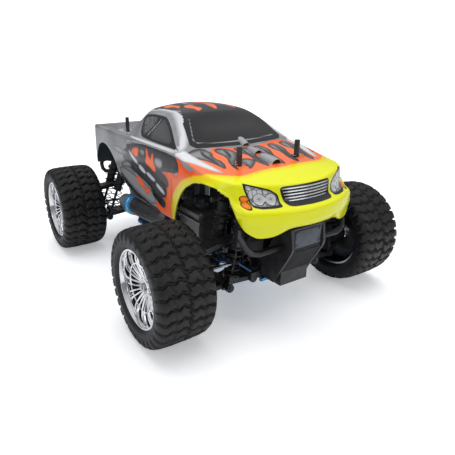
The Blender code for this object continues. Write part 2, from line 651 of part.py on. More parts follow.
def body_shell():
    bm = bmesh.new()
    grid = [[bm.verts.new(at(*body_point(i, t))) for t in COLUMNS] for i in range(len(ROWS))]
    for a, b in zip(grid, grid[1:]):
        for j in range(len(COLUMNS) - 1):
            bm.faces.new((a[j], b[j], b[j + 1], a[j + 1]))
    last = len(ROWS) - 1
    edge = [(0, t, "nose") for t in COLUMNS] + [(i, 1.0, "side") for i in range(1, last)] + [(last, t, "tail") for t in reversed(COLUMNS)]
    ring = [grid[i][COLUMNS.index(t)] for i, t, _ in edge]
    walls = [ring]
    for level in range(4):
        row = []
        for i, t, kind in edge:
            x, y, _ = body_point(i, t)
            dx, dy, z = wall_offsets(x, y, kind == "nose", kind == "tail")[level]
            row.append(bm.verts.new(at(x + dx * (1.0 if x > 1 else 0.0), y + dy, z)))
        walls.append(row)
    for a, b in zip(walls, walls[1:]):
        for j in range(len(edge) - 1):
            bm.faces.new((a[j], a[j + 1], b[j + 1], b[j]))
    bmesh.ops.recalc_face_normals(bm, faces=bm.faces)
    if sum(f.normal.z for f in bm.faces) < 0:
        bmesh.ops.reverse_faces(bm, faces=bm.faces)
    shell = from_bmesh("body_shell", bm, "body_paint", smooth=True)
    mirror = shell.modifiers.new("both_sides", "MIRROR")
    mirror.use_axis = (True, False, False)
    mirror.merge_threshold = 1e-5
    skin = shell.modifiers.new("skin", "SOLIDIFY")
    skin.thickness = SHELL_T * MM
    skin.offset = -1.0
    front = [(-80, 60), (-80.5, 96), (-84, 103), (-94, 121), (-107, 137), (-121, 146), (-135, 149.3), (-152, 149.5), (-165, 143), (-175, 131), (-182.5, 117), (-183.5, 60)]
    rear = [(20, 60), (27, 96.5), (50, 104), (72, 116.5), (82, 130), (104, 143.5), (128, 148), (149, 141), (160, 124), (165.8, 112), (170, 60)]
    for outline in (front, rear):
        cut(shell, plate("arch", outline, 260.0, (0, 0, 0), Y, Z))
    for e in (-1, 1):
        for s in (-1, 1):
            cut(shell, rod("post_hole", (POST[0] * s, POST[1] * e, 146), (POST[0] * s, POST[1] * e, 176), 3.6, 10))


for corner, (s, e) in CORNERS.items():
    wheel(corner, s, e)
    suspension(corner, s, e)
    (front_hub if e < 0 else rear_hub)(corner, s, e)
for which, e in (("front", -1), ("rear", 1)):
    gearbox(which, e)
    tower(which, e)
    bumper(which, e)
chassis()
power()
drive_line()
steering()
body_shell()
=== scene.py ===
import math

import bmesh
import bpy
import numpy as np
from mathutils import Matrix, Vector

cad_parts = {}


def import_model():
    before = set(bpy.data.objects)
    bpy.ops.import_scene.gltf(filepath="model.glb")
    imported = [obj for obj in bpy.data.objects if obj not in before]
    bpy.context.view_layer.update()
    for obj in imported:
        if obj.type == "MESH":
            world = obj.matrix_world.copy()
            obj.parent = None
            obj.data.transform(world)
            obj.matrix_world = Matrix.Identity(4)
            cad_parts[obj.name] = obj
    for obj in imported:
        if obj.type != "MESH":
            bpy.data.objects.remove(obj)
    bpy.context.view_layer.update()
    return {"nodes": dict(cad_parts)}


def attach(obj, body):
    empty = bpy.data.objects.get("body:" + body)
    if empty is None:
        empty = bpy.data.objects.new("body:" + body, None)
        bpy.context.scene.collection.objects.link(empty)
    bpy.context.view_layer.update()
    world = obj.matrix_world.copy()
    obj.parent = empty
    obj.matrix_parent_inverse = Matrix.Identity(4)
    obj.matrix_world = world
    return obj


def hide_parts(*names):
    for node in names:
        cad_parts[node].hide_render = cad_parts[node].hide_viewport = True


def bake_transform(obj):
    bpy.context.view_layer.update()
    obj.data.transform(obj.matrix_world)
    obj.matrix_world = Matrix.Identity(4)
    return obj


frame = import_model()

# Lengths below are in millimetres in the wheelbase frame: X left, -Y nose, Z up,
# Y zero halfway between the axles. The world frame lies 4.25 mm along Y from it.
Y_SHIFT = 4.25
CORNERS = {"fl": (1, -1), "fr": (-1, -1), "rl": (1, 1), "rr": (-1, 1)}


def world(points):
    points = np.asarray(points, float)
    return (points + np.array([0.0, Y_SHIFT, 0.0])) / 1000.0


def metres(x, y, z):
    return Vector((x / 1000, (y + Y_SHIFT) / 1000, z / 1000))


def piece(name, verts, faces, material, body=None, smooth=True, slot=None, replaces=None, place=True):
    mesh = bpy.data.meshes.new(name)
    pts = world(verts) if place else np.asarray(verts, float) / 1000.0
    mesh.from_pydata([tuple(p) for p in pts], [], [tuple(int(i) for i in f) for f in faces])
    mesh.validate()
    obj = bpy.data.objects.new(name, mesh)
    bpy.context.scene.collection.objects.link(obj)
    if material is not None:
        mesh.materials.append(material)
    if smooth:
        mesh.shade_smooth()
    if body:
        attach(obj, body)
    if replaces:
        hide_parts(*([replaces] if isinstance(replaces, str) else replaces))
    return obj


def outward(obj):
    bm = bmesh.new()
    bm.from_mesh(obj.data)
    bmesh.ops.recalc_face_normals(bm, faces=bm.faces)
    bm.to_mesh(obj.data)
    bm.free()


def sharpen(obj, degrees):
    bm = bmesh.new()
    bm.from_mesh(obj.data)
    for edge in bm.edges:
        if len(edge.link_faces) == 2 and edge.calc_face_angle(0.0) > math.radians(degrees):
            edge.smooth = False
    bm.to_mesh(obj.data)
    bm.free()


def gather(parts):
    verts, faces, n = [], [], 0
    for v, f in parts:
        verts.extend(list(v))
        faces.extend([[i + n for i in face] for face in f])
        n += len(v)
    return verts, faces


def tube(path, radius, segments=12, closed=False, caps=True):
    path = [Vector(p) for p in path]
    n = len(path)
    radii = radius if hasattr(radius, "__len__") else [radius] * n
    verts, faces = [], []
    side = None
    for i, p in enumerate(path):
        a = path[(i - 1) % n] if closed or i > 0 else p
        b = path[(i + 1) % n] if closed or i < n - 1 else p
        t = (b - a).normalized()
        if side is None:
            side = t.orthogonal().normalized()
        side = (side - t * side.dot(t)).normalized()
        up = t.cross(side)
        for k in range(segments):
            q = 2 * math.pi * k / segments
            verts.append(p + side * (radii[i] * math.cos(q)) + up * (radii[i] * math.sin(q)))
    for i in range(n if closed else n - 1):
        j = (i + 1) % n
        for k in range(segments):
            m = (k + 1) % segments
            faces.append([i * segments + k, j * segments + k, j * segments + m, i * segments + m])
    if caps and not closed:
        faces.append(list(range(segments)))
        faces.append([(n - 1) * segments + k for k in range(segments)][::-1])
    return verts, faces


def lathe(profile, origin, direction, segments=64):
    """profile is a list of (distance along the axis, radius)."""
    axis = Vector(direction).normalized()
    side = axis.orthogonal().normalized()
    up = axis.cross(side)
    origin = Vector(origin)
    verts, faces = [], []
    for h, r in profile:
        for k in range(segments):
            q = 2 * math.pi * k / segments
            verts.append(origin + axis * h + side * (r * math.cos(q)) + up * (r * math.sin(q)))
    n = len(profile)
    for i in range(n - 1):
        for k in range(segments):
            m = (k + 1) % segments
            faces.append([i * segments + k, i * segments + m, (i + 1) * segments + m, (i + 1) * segments + k])
    for i, flip in ((0, True), (n - 1, False)):
        if profile[i][1] > 1e-6:
            ring = [i * segments + k for k in range(segments)]
            faces.append(ring[::-1] if flip else ring)
    return verts, faces


def block(centre, size, bevel=0.6, rotation=None):
    """A box with softened edges, as points and faces."""
    bm = bmesh.new()
    bmesh.ops.create_cube(bm, size=1.0)
    bmesh.ops.scale(bm, vec=Vector(size), verts=bm.verts)
    bmesh.ops.bevel(bm, geom=list(bm.edges), offset=bevel, segments=2, affect="EDGES", profile=0.5)
    turn = Matrix(rotation).to_3x3() if rotation is not None else Matrix.Identity(3)
    c = Vector(centre)
    bm.verts.index_update()
    verts = [turn @ v.co + c for v in bm.verts]
    faces = [[v.index for v in f.verts] for f in bm.faces]
    bm.free()
    return verts, faces


# ---------------------------------------------------------------- materials


class Nodes:
    """A small helper around one material's node tree."""

    def __init__(self, name):
        self.mat = bpy.data.materials.new(name)
        self.mat.use_nodes = True
        self.tree = self.mat.node_tree
        self.shader = self.tree.nodes["Principled BSDF"]
        self.coord = self.tree.nodes.new("ShaderNodeTexCoord")

    def new(self, kind, **props):
        node = self.tree.nodes.new(kind)
        for key, value in props.items():
            setattr(node, key, value)
        return node

    def link(self, a, b):
        self.tree.links.new(a, b)

    def noise(self, scale, detail=4.0, rough=0.55, stretch=None, kind="noise"):
        node = self.new({"noise": "ShaderNodeTexNoise", "voronoi": "ShaderNodeTexVoronoi"}[kind])
        node.inputs["Scale"].default_value = scale
        if kind == "noise":
            node.inputs["Detail"].default_value = detail
            node.inputs["Roughness"].default_value = rough
        source = self.coord.outputs["Object"]
        if stretch:
            mapping = self.new("ShaderNodeMapping")
            mapping.inputs["Scale"].default_value = stretch
            self.link(source, mapping.inputs["Vector"])
            source = mapping.outputs["Vector"]
        self.link(source, node.inputs["Vector"])
        return node.outputs[0]

    def remap(self, value, a, b, c, d, smooth=False):
        node = self.new("ShaderNodeMapRange")
        node.interpolation_type = "SMOOTHSTEP" if smooth else "LINEAR"
        for i, v in zip((1, 2, 3, 4), (a, b, c, d)):
            node.inputs[i].default_value = v
        self.link(value, node.inputs[0])
        return node.outputs[0]

    def math(self, op, a, b=None):
        node = self.new("ShaderNodeMath", operation=op)
        for i, v in enumerate((a, b)):
            if v is None:
                continue
            if hasattr(v, "is_linked"):
                self.link(v, node.inputs[i])
            else:
                node.inputs[i].default_value = v
        return node.outputs[0]

    def mix(self, factor, a, b, blend="MIX"):
        node = self.new("ShaderNodeMix", data_type="RGBA", blend_type=blend)
        for i, v in ((0, factor), (6, a), (7, b)):
            if hasattr(v, "is_linked"):
                self.link(v, node.inputs[i])
            elif i == 0:
                node.inputs[i].default_value = v
            else:
                node.inputs[i].default_value = (*v, 1.0)
        return node.outputs[2]

    def bump(self, height, strength, distance=0.001, previous=None):
        node = self.new("ShaderNodeBump")
        node.inputs["Strength"].default_value = strength
        node.inputs["Distance"].default_value = distance
        self.link(height, node.inputs["Height"])
        if previous is not None:
            self.link(previous, node.inputs["Normal"])
        return node.outputs[0]

    def set(self, **values):
        for key, value in values.items():
            socket = self.shader.inputs[key.replace("_", " ")]
            if hasattr(value, "is_linked"):
                self.link(value, socket)
            elif isinstance(value, tuple):
                socket.default_value = (*value, 1.0) if len(value) == 3 else value
            else:
                socket.default_value = value


def surface(name, colour, rough, metal=0.0, grain=900.0, bump=0.12, spread=0.18, wear=0.0, wear_colour=None,
            stretch=None, coat=0.0, spec=0.5, dust=0.0, rough_spread=0.1):
    """A moulded, cast, turned or painted finish: mottled colour and gloss, fine grain and worn edges."""
    n = Nodes(name)
    broad = n.noise(45.0, 5.0, 0.6, stretch)
    fine = n.noise(grain, 3.0, 0.6, stretch)
    low = tuple(c * (1 - spread) for c in colour)
    high = tuple(min(1.0, c * (1 + spread)) for c in colour)
    out = n.mix(n.remap(broad, 0.32, 0.68, 0.0, 1.0), low, high)
    if dust:
        geo = n.new("ShaderNodeNewGeometry")
        split = n.new("ShaderNodeSeparateXYZ")
        n.link(geo.outputs["Normal"], split.inputs[0])
        up = n.remap(split.outputs[2], 0.2, 1.0, 0.0, dust)
        speck = n.remap(n.noise(160.0, 6.0, 0.7), 0.42, 0.66, 0.2, 1.0)
        out = n.mix(n.math("MULTIPLY", up, speck), out, (0.30, 0.28, 0.25))
    if wear:
        geo = n.new("ShaderNodeNewGeometry")
        edge = n.remap(geo.outputs["Pointiness"], 0.515, 0.58, 0.0, wear)
        rub = n.remap(n.noise(120.0, 5.0, 0.7), 0.4, 0.6, 0.2, 1.0)
        out = n.mix(n.math("MULTIPLY", edge, rub), out, wear_colour or tuple(min(1.0, c * 2.2 + 0.05) for c in colour))
    n.set(Base_Color=out, Metallic=metal, Roughness=n.remap(fine, 0.3, 0.7, max(0.02, rough - rough_spread), rough + rough_spread),
          Normal=n.bump(fine, bump, 0.0004, n.bump(broad, bump * 0.3, 0.0008)))
    n.shader.inputs["Specular IOR Level"].default_value = spec
    n.shader.inputs["Coat Weight"].default_value = coat
    n.shader.inputs["Coat Roughness"].default_value = 0.06
    return n.mat


RUBBER = surface("tyre_rubber", (0.0072, 0.0072, 0.0076), 0.42, grain=1400.0, bump=0.20, spread=0.30, dust=0.02, spec=0.42, wear=0.25,
                 wear_colour=(0.05, 0.05, 0.05))
PLASTIC = surface("moulded_black", (0.009, 0.009, 0.010), 0.36, grain=1600.0, bump=0.12, spread=0.22, wear=0.25,
                  wear_colour=(0.12, 0.12, 0.13))
SATIN = surface("satin_black", (0.014, 0.014, 0.016), 0.30, grain=2200.0, bump=0.08, spread=0.2, wear=0.2, wear_colour=(0.16, 0.16, 0.17))
CHROME = surface("plated_chrome", (0.86, 0.87, 0.89), 0.09, 1.0, grain=700.0, bump=0.02, spread=0.05, rough_spread=0.03)
BARREL = surface("shaded_barrel", (0.05, 0.05, 0.052), 0.30, 0.6, grain=900.0, bump=0.05, spread=0.2)
STEEL = surface("turned_steel", (0.52, 0.52, 0.53), 0.28, 1.0, grain=2500.0, bump=0.05, spread=0.10, stretch=(1.0, 0.15, 1.0))
DARK_STEEL = surface("blackened_wire", (0.045, 0.045, 0.050), 0.24, 0.75, grain=2500.0, bump=0.06, spread=0.2)
BLUE = surface("blue_anodised", (0.035, 0.24, 0.56), 0.30, 0.75, grain=3000.0, bump=0.05, spread=0.12, wear=0.4, wear_colour=(0.35, 0.62, 0.85),
               stretch=(0.3, 1.0, 1.0))
CAST = surface("cast_grey", (0.075, 0.075, 0.080), 0.42, 0.7, grain=1100.0, bump=0.3, spread=0.2, wear=0.4, wear_colour=(0.5, 0.5, 0.5))
DARK_CAST = surface("cooling_fins", (0.06, 0.06, 0.064), 0.4, 0.6, grain=1100.0, bump=0.3, spread=0.2, wear=0.6, wear_colour=(0.4, 0.4, 0.4))
TANK = surface("smoked_tank", (0.050, 0.046, 0.043), 0.38, grain=1200.0, bump=0.10, spread=0.15, coat=0.25, wear=0.3, wear_colour=(0.22, 0.20, 0.18))
FOAM = surface("filter_foam", (0.028, 0.028, 0.030), 0.9, grain=500.0, bump=0.9, spread=0.4)
SILVER = surface("silver_paint", (0.42, 0.43, 0.44), 0.22, 0.35, grain=3000.0, bump=0.03, spread=0.12, coat=0.6)
BLACK_GLOSS = surface("black_mouth", (0.008, 0.008, 0.009), 0.22, grain=2500.0, bump=0.03, spread=0.2, coat=0.4)
LINER = surface("shell_inside", (0.115, 0.135, 0.155), 0.38, grain=1800.0, bump=0.06, spread=0.12)
BLUE_GREY = surface("plate_blue_grey", (0.050, 0.062, 0.080), 0.40, grain=1800.0, bump=0.10, spread=0.12, wear=0.3)


# ---------------------------------------------------------------- body shell


def between(value, table):
    return float(np.interp(value, [t[0] for t in table], [t[1] for t in table]))


def soft_min(a, b, radius):
    h = max(radius - abs(a - b), 0.0) / radius
    return min(a, b) - h * h * radius * 0.25


ROWS = [(-191.0, 68.0, 0.0047), (-183.0, 74.0, 0.0046), (-160.0, 79.0, 0.0042), (-130.0, 80.0, 0.0035), (-100.0, 79.5, 0.0027),
        (-94.0, 79.2, 0.0025), (-70.0, 79.0, 0.0017), (-51.0, 79.0, 0.0011), (-43.0, 79.0, 0.0009), (-20.0, 79.0, 0.0004),
        (10.0, 79.0, 0.0), (33.0, 79.0, 0.0), (38.0, 79.2, 0.0), (47.5, 79.4, 0.0), (51.0, 79.5, 0.0), (100.0, 80.0, 0.0),
        (158.0, 78.0, 0.0), (161.0, 77.8, 0.0), (166.0, 77.0, 0.0)]
BELT = [(-191, 150.5), (-170, 153), (-135, 157), (-90, 166), (-60, 167.5), (15, 168), (170, 167.7)]
FRONT_ARCH = [(-80, 60), (-80.5, 96), (-84, 103), (-94, 121), (-107, 137), (-121, 146), (-135, 149.3), (-152, 149.5), (-165, 143),
              (-175, 131), (-181.5, 119), (-187, 110), (-196, 101), (-205, 94), (-205, 60)]
REAR_ARCH = [(20, 60), (27, 96.5), (50, 104), (72, 116.5), (82, 130), (104, 143.5), (128, 148), (149, 141), (160, 124), (165.8, 112),
             (170, 60)]


def cab_planes(x, y):
    x = abs(x)
    screen = 170.6 + 0.635 * (y + 95.0 - 0.0025 * x * x)
    side = 168.5 + (76.5 - x) * 1.087
    roof = 207.7 - 0.0026 * x * x - 0.0019 * (y + 4.0) ** 2
    back = 201.0 - (y - 36.0) * 3.4
    return screen, side, roof, back


def top_height(x, y):
    x = abs(x)
    belt = between(y, BELT)
    if y > 44.0 and x < 90.0:
        edge = min(78.0 - 6.0 - x, y - 47.0, 159.5 - y)
        deck = belt - 10.5 * max(0.0, min(1.0, edge / 2.6))
    else:
        deck = belt + 4.5 * (1.0 - (x / 80.0) ** 2) * between(y, [(-191, 0.15), (-160, 0.8), (-90, 1.0), (-60, 0.6), (40, 0.2)])
    screen, side, roof, back = cab_planes(x, y)
    cab = soft_min(soft_min(soft_min(screen, side, 5.0), roof, 5.0), back, 4.0)
    return max(deck, cab)


def wall_levels(x, y, kind):
    """Points of the wall below a belt point: (outward, along, height)."""
    x = abs(x)
    if kind == "nose":
        low = between(x, [(0, 114.5), (29, 114.5), (40, 107.5), (60, 105.0), (68, 112.0)])
        return [(0.0, -3.0, 136.5), (0.3, -15.5, 131.5), (1.0, -16.5, 120.0), (0.5, -13.5, low)]
    if kind == "tail":
        return [(0.5, 1.0, 150.0), (0.5, 1.5, 132.0), (0.3, 1.0, 122.0), (0.0, 0.0, 110.7)]
    swell = between(y, [(-170, 0.6), (-150, 1.0), (-100, 1.0), (0, 0.8), (100, 0.15), (170, 0.1)])
    low = between(y, [(-160, 100.0), (-80, 94.0), (60, 94.0), (160, 105.0), (166, 110.7)])
    return [(4.2 * swell, 0, 149.0), (5.0 * swell, 0, 132.0), (4.4 * swell, 0, 116.0), (2.0 * swell, 0, low)]


def row_at(yc):
    return (yc, float(np.interp(yc, [r[0] for r in ROWS], [r[1] for r in ROWS])),
            float(np.interp(yc, [r[0] for r in ROWS], [r[2] for r in ROWS])))


def body_point(yc, t):
    yc, w, bow = row_at(yc)
    x = w * t
    y = yc + bow * x * x
    return x, y, top_height(x, y)


def spaced(start, stop, step, fine, fine_step):
    values, v = [], start
    while v < stop - 1e-6:
        values.append(v)
        s = fine_step if any(a <= v < b for a, b in fine) else step
        v += s
    values.append(stop)
    return values


def shell_grid():
    rows = spaced(-191.0, 166.0, 2.0, [(31, 52), (155, 162.5), (-104, -92)], 0.9)
    half = spaced(0.0, 1.0, 2.0 / 79, [(0.87, 0.97)], 0.9 / 79)
    cols = [-t for t in half[:0:-1]] + half
    nr, nc = len(rows), len(cols)
    pts = [body_point(yc, t) for yc in rows for t in cols]
    faces = [[i * nc + j, i * nc + j + 1, (i + 1) * nc + j + 1, (i + 1) * nc + j] for i in range(nr - 1) for j in range(nc - 1)]
    zone = ["top"] * len(pts)
    rim = [(0, j) for j in range(nc)] + [(i, nc - 1) for i in range(1, nr)] + [(nr - 1, j) for j in range(nc - 2, -1, -1)] + [
        (i, 0) for i in range(nr - 2, 0, -1)]
    steps = 26
    count = len(rim)
    wall_index = []
    for i, j in rim:
        x, y, z = pts[i * nc + j]
        yc = rows[i]
        sx = (1 if x > 0 else -1) if abs(x) > 1e-6 else 0
        if i == 0:
            lv = wall_levels(x, y, "nose")
            spread = min(1.0, abs(x) / 60.0)
        elif i == nr - 1:
            lv = wall_levels(x, y, "tail")
            spread = min(1.0, abs(x) / 70.0)
        else:
            side = np.array(wall_levels(x, y, "side"), float)
            spread = 1.0
            if yc < -183.0:
                corner = np.array(wall_levels(68.0, y, "nose"), float)
                f = (yc + 191.0) / 8.0
                side = corner * (1 - f) + side * f
            elif yc > 161.0:
                corner = np.array(wall_levels(77.0, y, "tail"), float)
                f = (166.0 - yc) / 5.0
                side = corner * (1 - f) + side * f
            lv = side
        ox = [0.0] + [l[0] * spread * sx for l in lv]
        oy = [0.0] + [l[1] for l in lv]
        oz = [z] + [l[2] for l in lv]
        oz = [min(v, z - 0.5 * k) for k, v in enumerate(oz)]
        span = np.concatenate([[0], np.cumsum(np.hypot(np.diff(oy), np.diff(oz)))])
        q = np.linspace(0, span[-1], steps + 1)
        column = []
        for k in range(1, steps + 1):
            column.append(len(pts))
            pts.append((x + float(np.interp(q[k], span, ox)), y + float(np.interp(q[k], span, oy)), float(np.interp(q[k], span, oz))))
            zone.append("wall")
        wall_index.append([i * nc + j] + column)
    for a in range(count):
        b = (a + 1) % count
        for k in range(steps):
            faces.append([wall_index[a][k], wall_index[a][k + 1], wall_index[b][k + 1], wall_index[b][k]])
    return np.array(pts, float), faces, zone


def smooth_points(pts, faces, rounds, factor, pinned):
    n = len(pts)
    edges = set()
    for f in faces:
        for a, b in zip(f, f[1:] + f[:1]):
            edges.add((a, b) if a < b else (b, a))
    e = np.array(sorted(edges))
    for _ in range(rounds):
        total = np.zeros((n, 3))
        degree = np.zeros(n)
        np.add.at(total, e[:, 0], pts[e[:, 1]])
        np.add.at(total, e[:, 1], pts[e[:, 0]])
        np.add.at(degree, e[:, 0], 1)
        np.add.at(degree, e[:, 1], 1)
        move = (total / degree[:, None] - pts) * factor
        move[pinned] = 0
        pts = pts + move
    return pts


def signed(points, polygon):
    """Distance to a closed outline, negative inside."""
    p = np.asarray(points, float)
    v = np.asarray(polygon, float)
    best = np.full(len(p), 1e9)
    inside = np.zeros(len(p), bool)
    near = np.zeros((len(p), 2))
    for a, b in zip(v, np.roll(v, -1, axis=0)):
        d = b - a
        s = np.clip(((p - a) @ d) / max(float(d @ d), 1e-9), 0, 1)
        q = a + s[:, None] * d
        dist = np.hypot(*(p - q).T)
        k = dist < best
        best[k] = dist[k]
        near[k] = q[k]
        cross = ((a[1] > p[:, 1]) != (b[1] > p[:, 1]))
        with np.errstate(divide="ignore", invalid="ignore"):
            at = (b[0] - a[0]) * (p[:, 1] - a[1]) / (b[1] - a[1]) + a[0]
        inside ^= cross & (p[:, 0] < at)
    return np.where(inside, -best, best), near


def rounded(polygon, rounds=2):
    v = np.asarray(polygon, float)
    for _ in range(rounds):
        n = np.roll(v, -1, axis=0)
        v = np.stack([v * 0.75 + n * 0.25, v * 0.25 + n * 0.75], axis=1).reshape(-1, 2)
    return v


def ribbon(line, width):
    """An outline around an open line, tapering to both ends."""
    line = [Vector((*p, 0)) for p in line]
    left, right = [], []
    n = len(line)
    for i, p in enumerate(line):
        d = (line[min(i + 1, n - 1)] - line[max(i - 1, 0)]).normalized()
        s = Vector((-d.y, d.x, 0))
        w = width * 0.5 * (1.0 if 0 < i < n - 1 else 0.55)
        left.append((p + s * w)[:2])
        right.append((p - s * w)[:2])
    return left + right[::-1]


pts, faces, zone = shell_grid()
wall = np.array([z == "wall" for z in zone])
edge_count = {}
for f in faces:
    for a, b in zip(f, f[1:] + f[:1]):
        key = (a, b) if a < b else (b, a)
        edge_count[key] = edge_count.get(key, 0) + 1
rim_points = sorted({v for e, c in edge_count.items() if c == 1 for v in e})
pts = smooth_points(pts, faces, 3, 0.5, np.array(rim_points))

# wheel arches: points inside the outline go, and the ones next to it move onto it
side_part = wall & (np.abs(pts[:, 0]) > 57.0)
for arch in (FRONT_ARCH, REAR_ARCH):
    outline = np.asarray(arch, float)
    smooth_top = rounded(arch, 2)
    dist, near = signed(pts[:, 1:3], smooth_top)
    inside = (dist < 0) & side_part
    keep = [f for f in faces if not all(inside[v] for v in f)]
    used = {v for f in keep for v in f}
    for v in used:
        if inside[v]:
            pts[v, 1], pts[v, 2] = near[v]
    faces = keep
used = sorted({v for f in faces for v in f})
index = {v: i for i, v in enumerate(used)}
pts = pts[used]
wall = wall[used]
faces = [[index[v] for v in f] for f in faces]

# the free edge runs smoothly round the front and rear lower corners
edge_count = {}
for f in faces:
    for a, b in zip(f, f[1:] + f[:1]):
        key = (a, b) if a < b else (b, a)
        edge_count[key] = edge_count.get(key, 0) + 1
beside = {}
for (a, b), count in edge_count.items():
    if count == 1:
        beside.setdefault(a, []).append(b)
        beside.setdefault(b, []).append(a)
corner_edge = [v for v, near_by in beside.items() if len(near_by) == 2 and abs(pts[v, 0]) < 82.0
               and (pts[v, 1] < -168.0 or pts[v, 1] > 158.0) and pts[v, 2] < 132.0]
for _ in range(14):
    moved = {v: pts[v] * 0.5 + (pts[beside[v][0]] + pts[beside[v][1]]) * 0.25 for v in corner_edge}
    for v, q in moved.items():
        pts[v, 0:3] = q

# Which flat view each point takes its paint from: the side, the top or the nose.
screen_h, side_h, roof_h, back_h = zip(*[cab_planes(p[0], p[1]) for p in pts])
screen_h, side_h, roof_h, back_h = map(np.array, (screen_h, side_h, roof_h, back_h))
cab_side = (~wall) & (pts[:, 2] > 169.5) & (side_h < np.minimum(np.minimum(screen_h, roof_h), back_h) + 0.5)
in_side = (wall & (np.abs(pts[:, 0]) > 66.0)) | cab_side
in_top = ~in_side
SIDE = pts[:, 1:3]
TOP = pts[:, 0:2]
NOSE = np.stack([np.abs(pts[:, 0]), pts[:, 2]], axis=1)
in_nose = pts[:, 1] < -150.0


def layer(side=(), top=(), nose=(), smooth=2):
    out = np.full(len(pts), 30.0)
    for polygon in side:
        d, _ = signed(SIDE, rounded(polygon, smooth))
        out = np.where(in_side, np.minimum(out, d), out)
    for polygon in top:
        d, _ = signed(TOP, rounded(polygon, smooth))
        out = np.where(in_top, np.minimum(out, d), out)
    for polygon in nose:
        d, _ = signed(NOSE, rounded(polygon, smooth))
        out = np.where(in_nose, np.minimum(out, d), out)
    return out


def mirrored(polygon):
    return [(-x, y) for x, y in polygon][::-1]


LAYERS = []


def paint(name, rim, core, depth, soft, **where):
    """rim and core are the colours at the outline and this far inside it."""
    LAYERS.append((name, rim, core, depth, soft, layer(**where)))


GREY_RIM, GREY_CORE = (0.032, 0.031, 0.033), (0.26, 0.26, 0.27)
CHARCOAL = (0.030, 0.029, 0.031)
ORANGE, ORANGE_CORE = (0.86, 0.085, 0.012), (0.98, 0.155, 0.030)
SALMON, SALMON_CORE = (0.92, 0.115, 0.020), (1.0, 0.185, 0.050)
YELLOW, YELLOW_CORE = (0.93, 0.62, 0.0), (0.83, 0.85, 0.0)
PALE = (0.62, 0.63, 0.65)

# bonnet and the fronts of the doors
paint("orange_field", SALMON, SALMON_CORE, 10.0, 1.2,
      top=[[(-95, -100), (-62, -101), (-54, -103), (-42, -91), (-38, -92), (-20, -97), (0, -99), (20, -97), (44, -91), (58, -88), (70, -95),
            (95, -100), (95, -240), (-95, -240)]])
paint("orange_side", ORANGE, ORANGE_CORE, 6.0, 1.0,
      side=[[(-42, 107), (-51, 103), (-59, 102), (-63, 107), (-56, 114), (-67, 117), (-68, 127), (-74, 133), (-73, 139), (-56, 144),
             (-72, 146), (-73, 153), (-82, 148), (-92, 146), (-94, 151), (-88, 157), (-78, 165), (-91, 164), (-104, 157), (-116, 155),
             (-120, 159), (-110, 162), (-116, 166), (-135, 166), (-160, 164), (-215, 160), (-215, 60), (-70, 60), (-51, 92), (-36, 99)]])
paint("dark_door", CHARCOAL, (0.055, 0.054, 0.058), 8.0, 1.0,
      side=[[(47, 157), (5, 165), (-42, 165.5), (-81, 166), (-93, 157), (-95, 150), (-81, 147), (-72, 146), (-56, 144), (-45, 136),
             (-25, 143), (-4, 148), (19, 149), (37, 153)],
            [(40, 156), (0, 152), (-30, 144), (-56, 138), (-70, 130), (-68, 116), (-46, 112), (-24, 121), (10, 127), (44, 133), (56, 144)],
            [(-26, 117), (-42, 117), (-66, 112), (-60, 102), (-52, 102), (-40, 107), (-28, 111)],
            [(62, 119), (40, 109), (10, 101.5), (-30, 97), (-40, 98), (-48, 94), (-48, 88), (70, 88), (70, 112)]])
paint("rear_wing", (0.10, 0.10, 0.105), (0.42, 0.43, 0.44), 5.0, 1.4,
      side=[[(92, 150), (70, 152), (48, 150), (30, 147), (46, 143), (66, 142), (84, 144)],
            [(60, 132), (36, 139), (20, 133), (40, 128), (60, 127)]])
paint("door_silver", (0.12, 0.12, 0.125), (0.30, 0.31, 0.325), 4.0, 0.8,
      side=[[(70, 123), (52, 128), (21, 125), (-23, 120), (-40, 109), (-37, 98), (-7, 100), (26, 106), (55, 114)]])
paint("door_orange", ORANGE, SALMON_CORE, 3.0, 0.7,
      side=[[(21, 157), (5, 160), (4, 150), (11, 147), (21, 150), (28, 151)],
            [(-13, 161), (-17, 163), (-24, 153), (-30, 152), (-30, 159), (-34, 159), (-38, 150), (-45, 141), (-40, 139), (-25, 143), (-14, 146),
             (-18, 152)],
            [(14, 124), (0, 125), (-12, 118), (-12, 113), (-23, 118), (-28, 114), (-20, 109), (-14, 106), (-13, 113), (0, 114), (10, 119)]])
paint("door_light", (0.05, 0.05, 0.05), (0.40, 0.40, 0.41), 5.0, 1.2,
      side=[[(-37, 157), (-51, 158), (-59, 156), (-60, 148), (-52, 144), (-40, 146), (-37, 152)],
            [(2, 160), (-12, 160), (-14, 152), (-4, 151), (3, 155)]])
paint("door_black", (0.008, 0.008, 0.009), (0.012, 0.012, 0.013), 3.0, 0.8,
      side=[[(-40, 143), (-56, 144), (-73, 139), (-75, 131), (-68, 128), (-58, 130), (-45, 136)],
            [(-32, 115), (-42, 115), (-64, 110), (-59, 102), (-51, 103), (-42, 107), (-31, 111)],
            ribbon([(66, 114.5), (30, 103), (-10, 98), (-42, 94.5)], 2.2)])
paint("door_streaks", (0.34, 0.38, 0.44), (0.66, 0.69, 0.73), 1.6, 0.6,
      side=[[(38, 154), (20, 148), (0, 141), (8, 138.5), (26, 144)], [(0, 142), (-20, 135), (-14, 131), (6, 137)],
            [(-20, 137.5), (-45, 131), (-39, 127), (-18, 132.5)], [(-44, 130), (-66, 122), (-63, 117.5), (-42, 124.5)]])

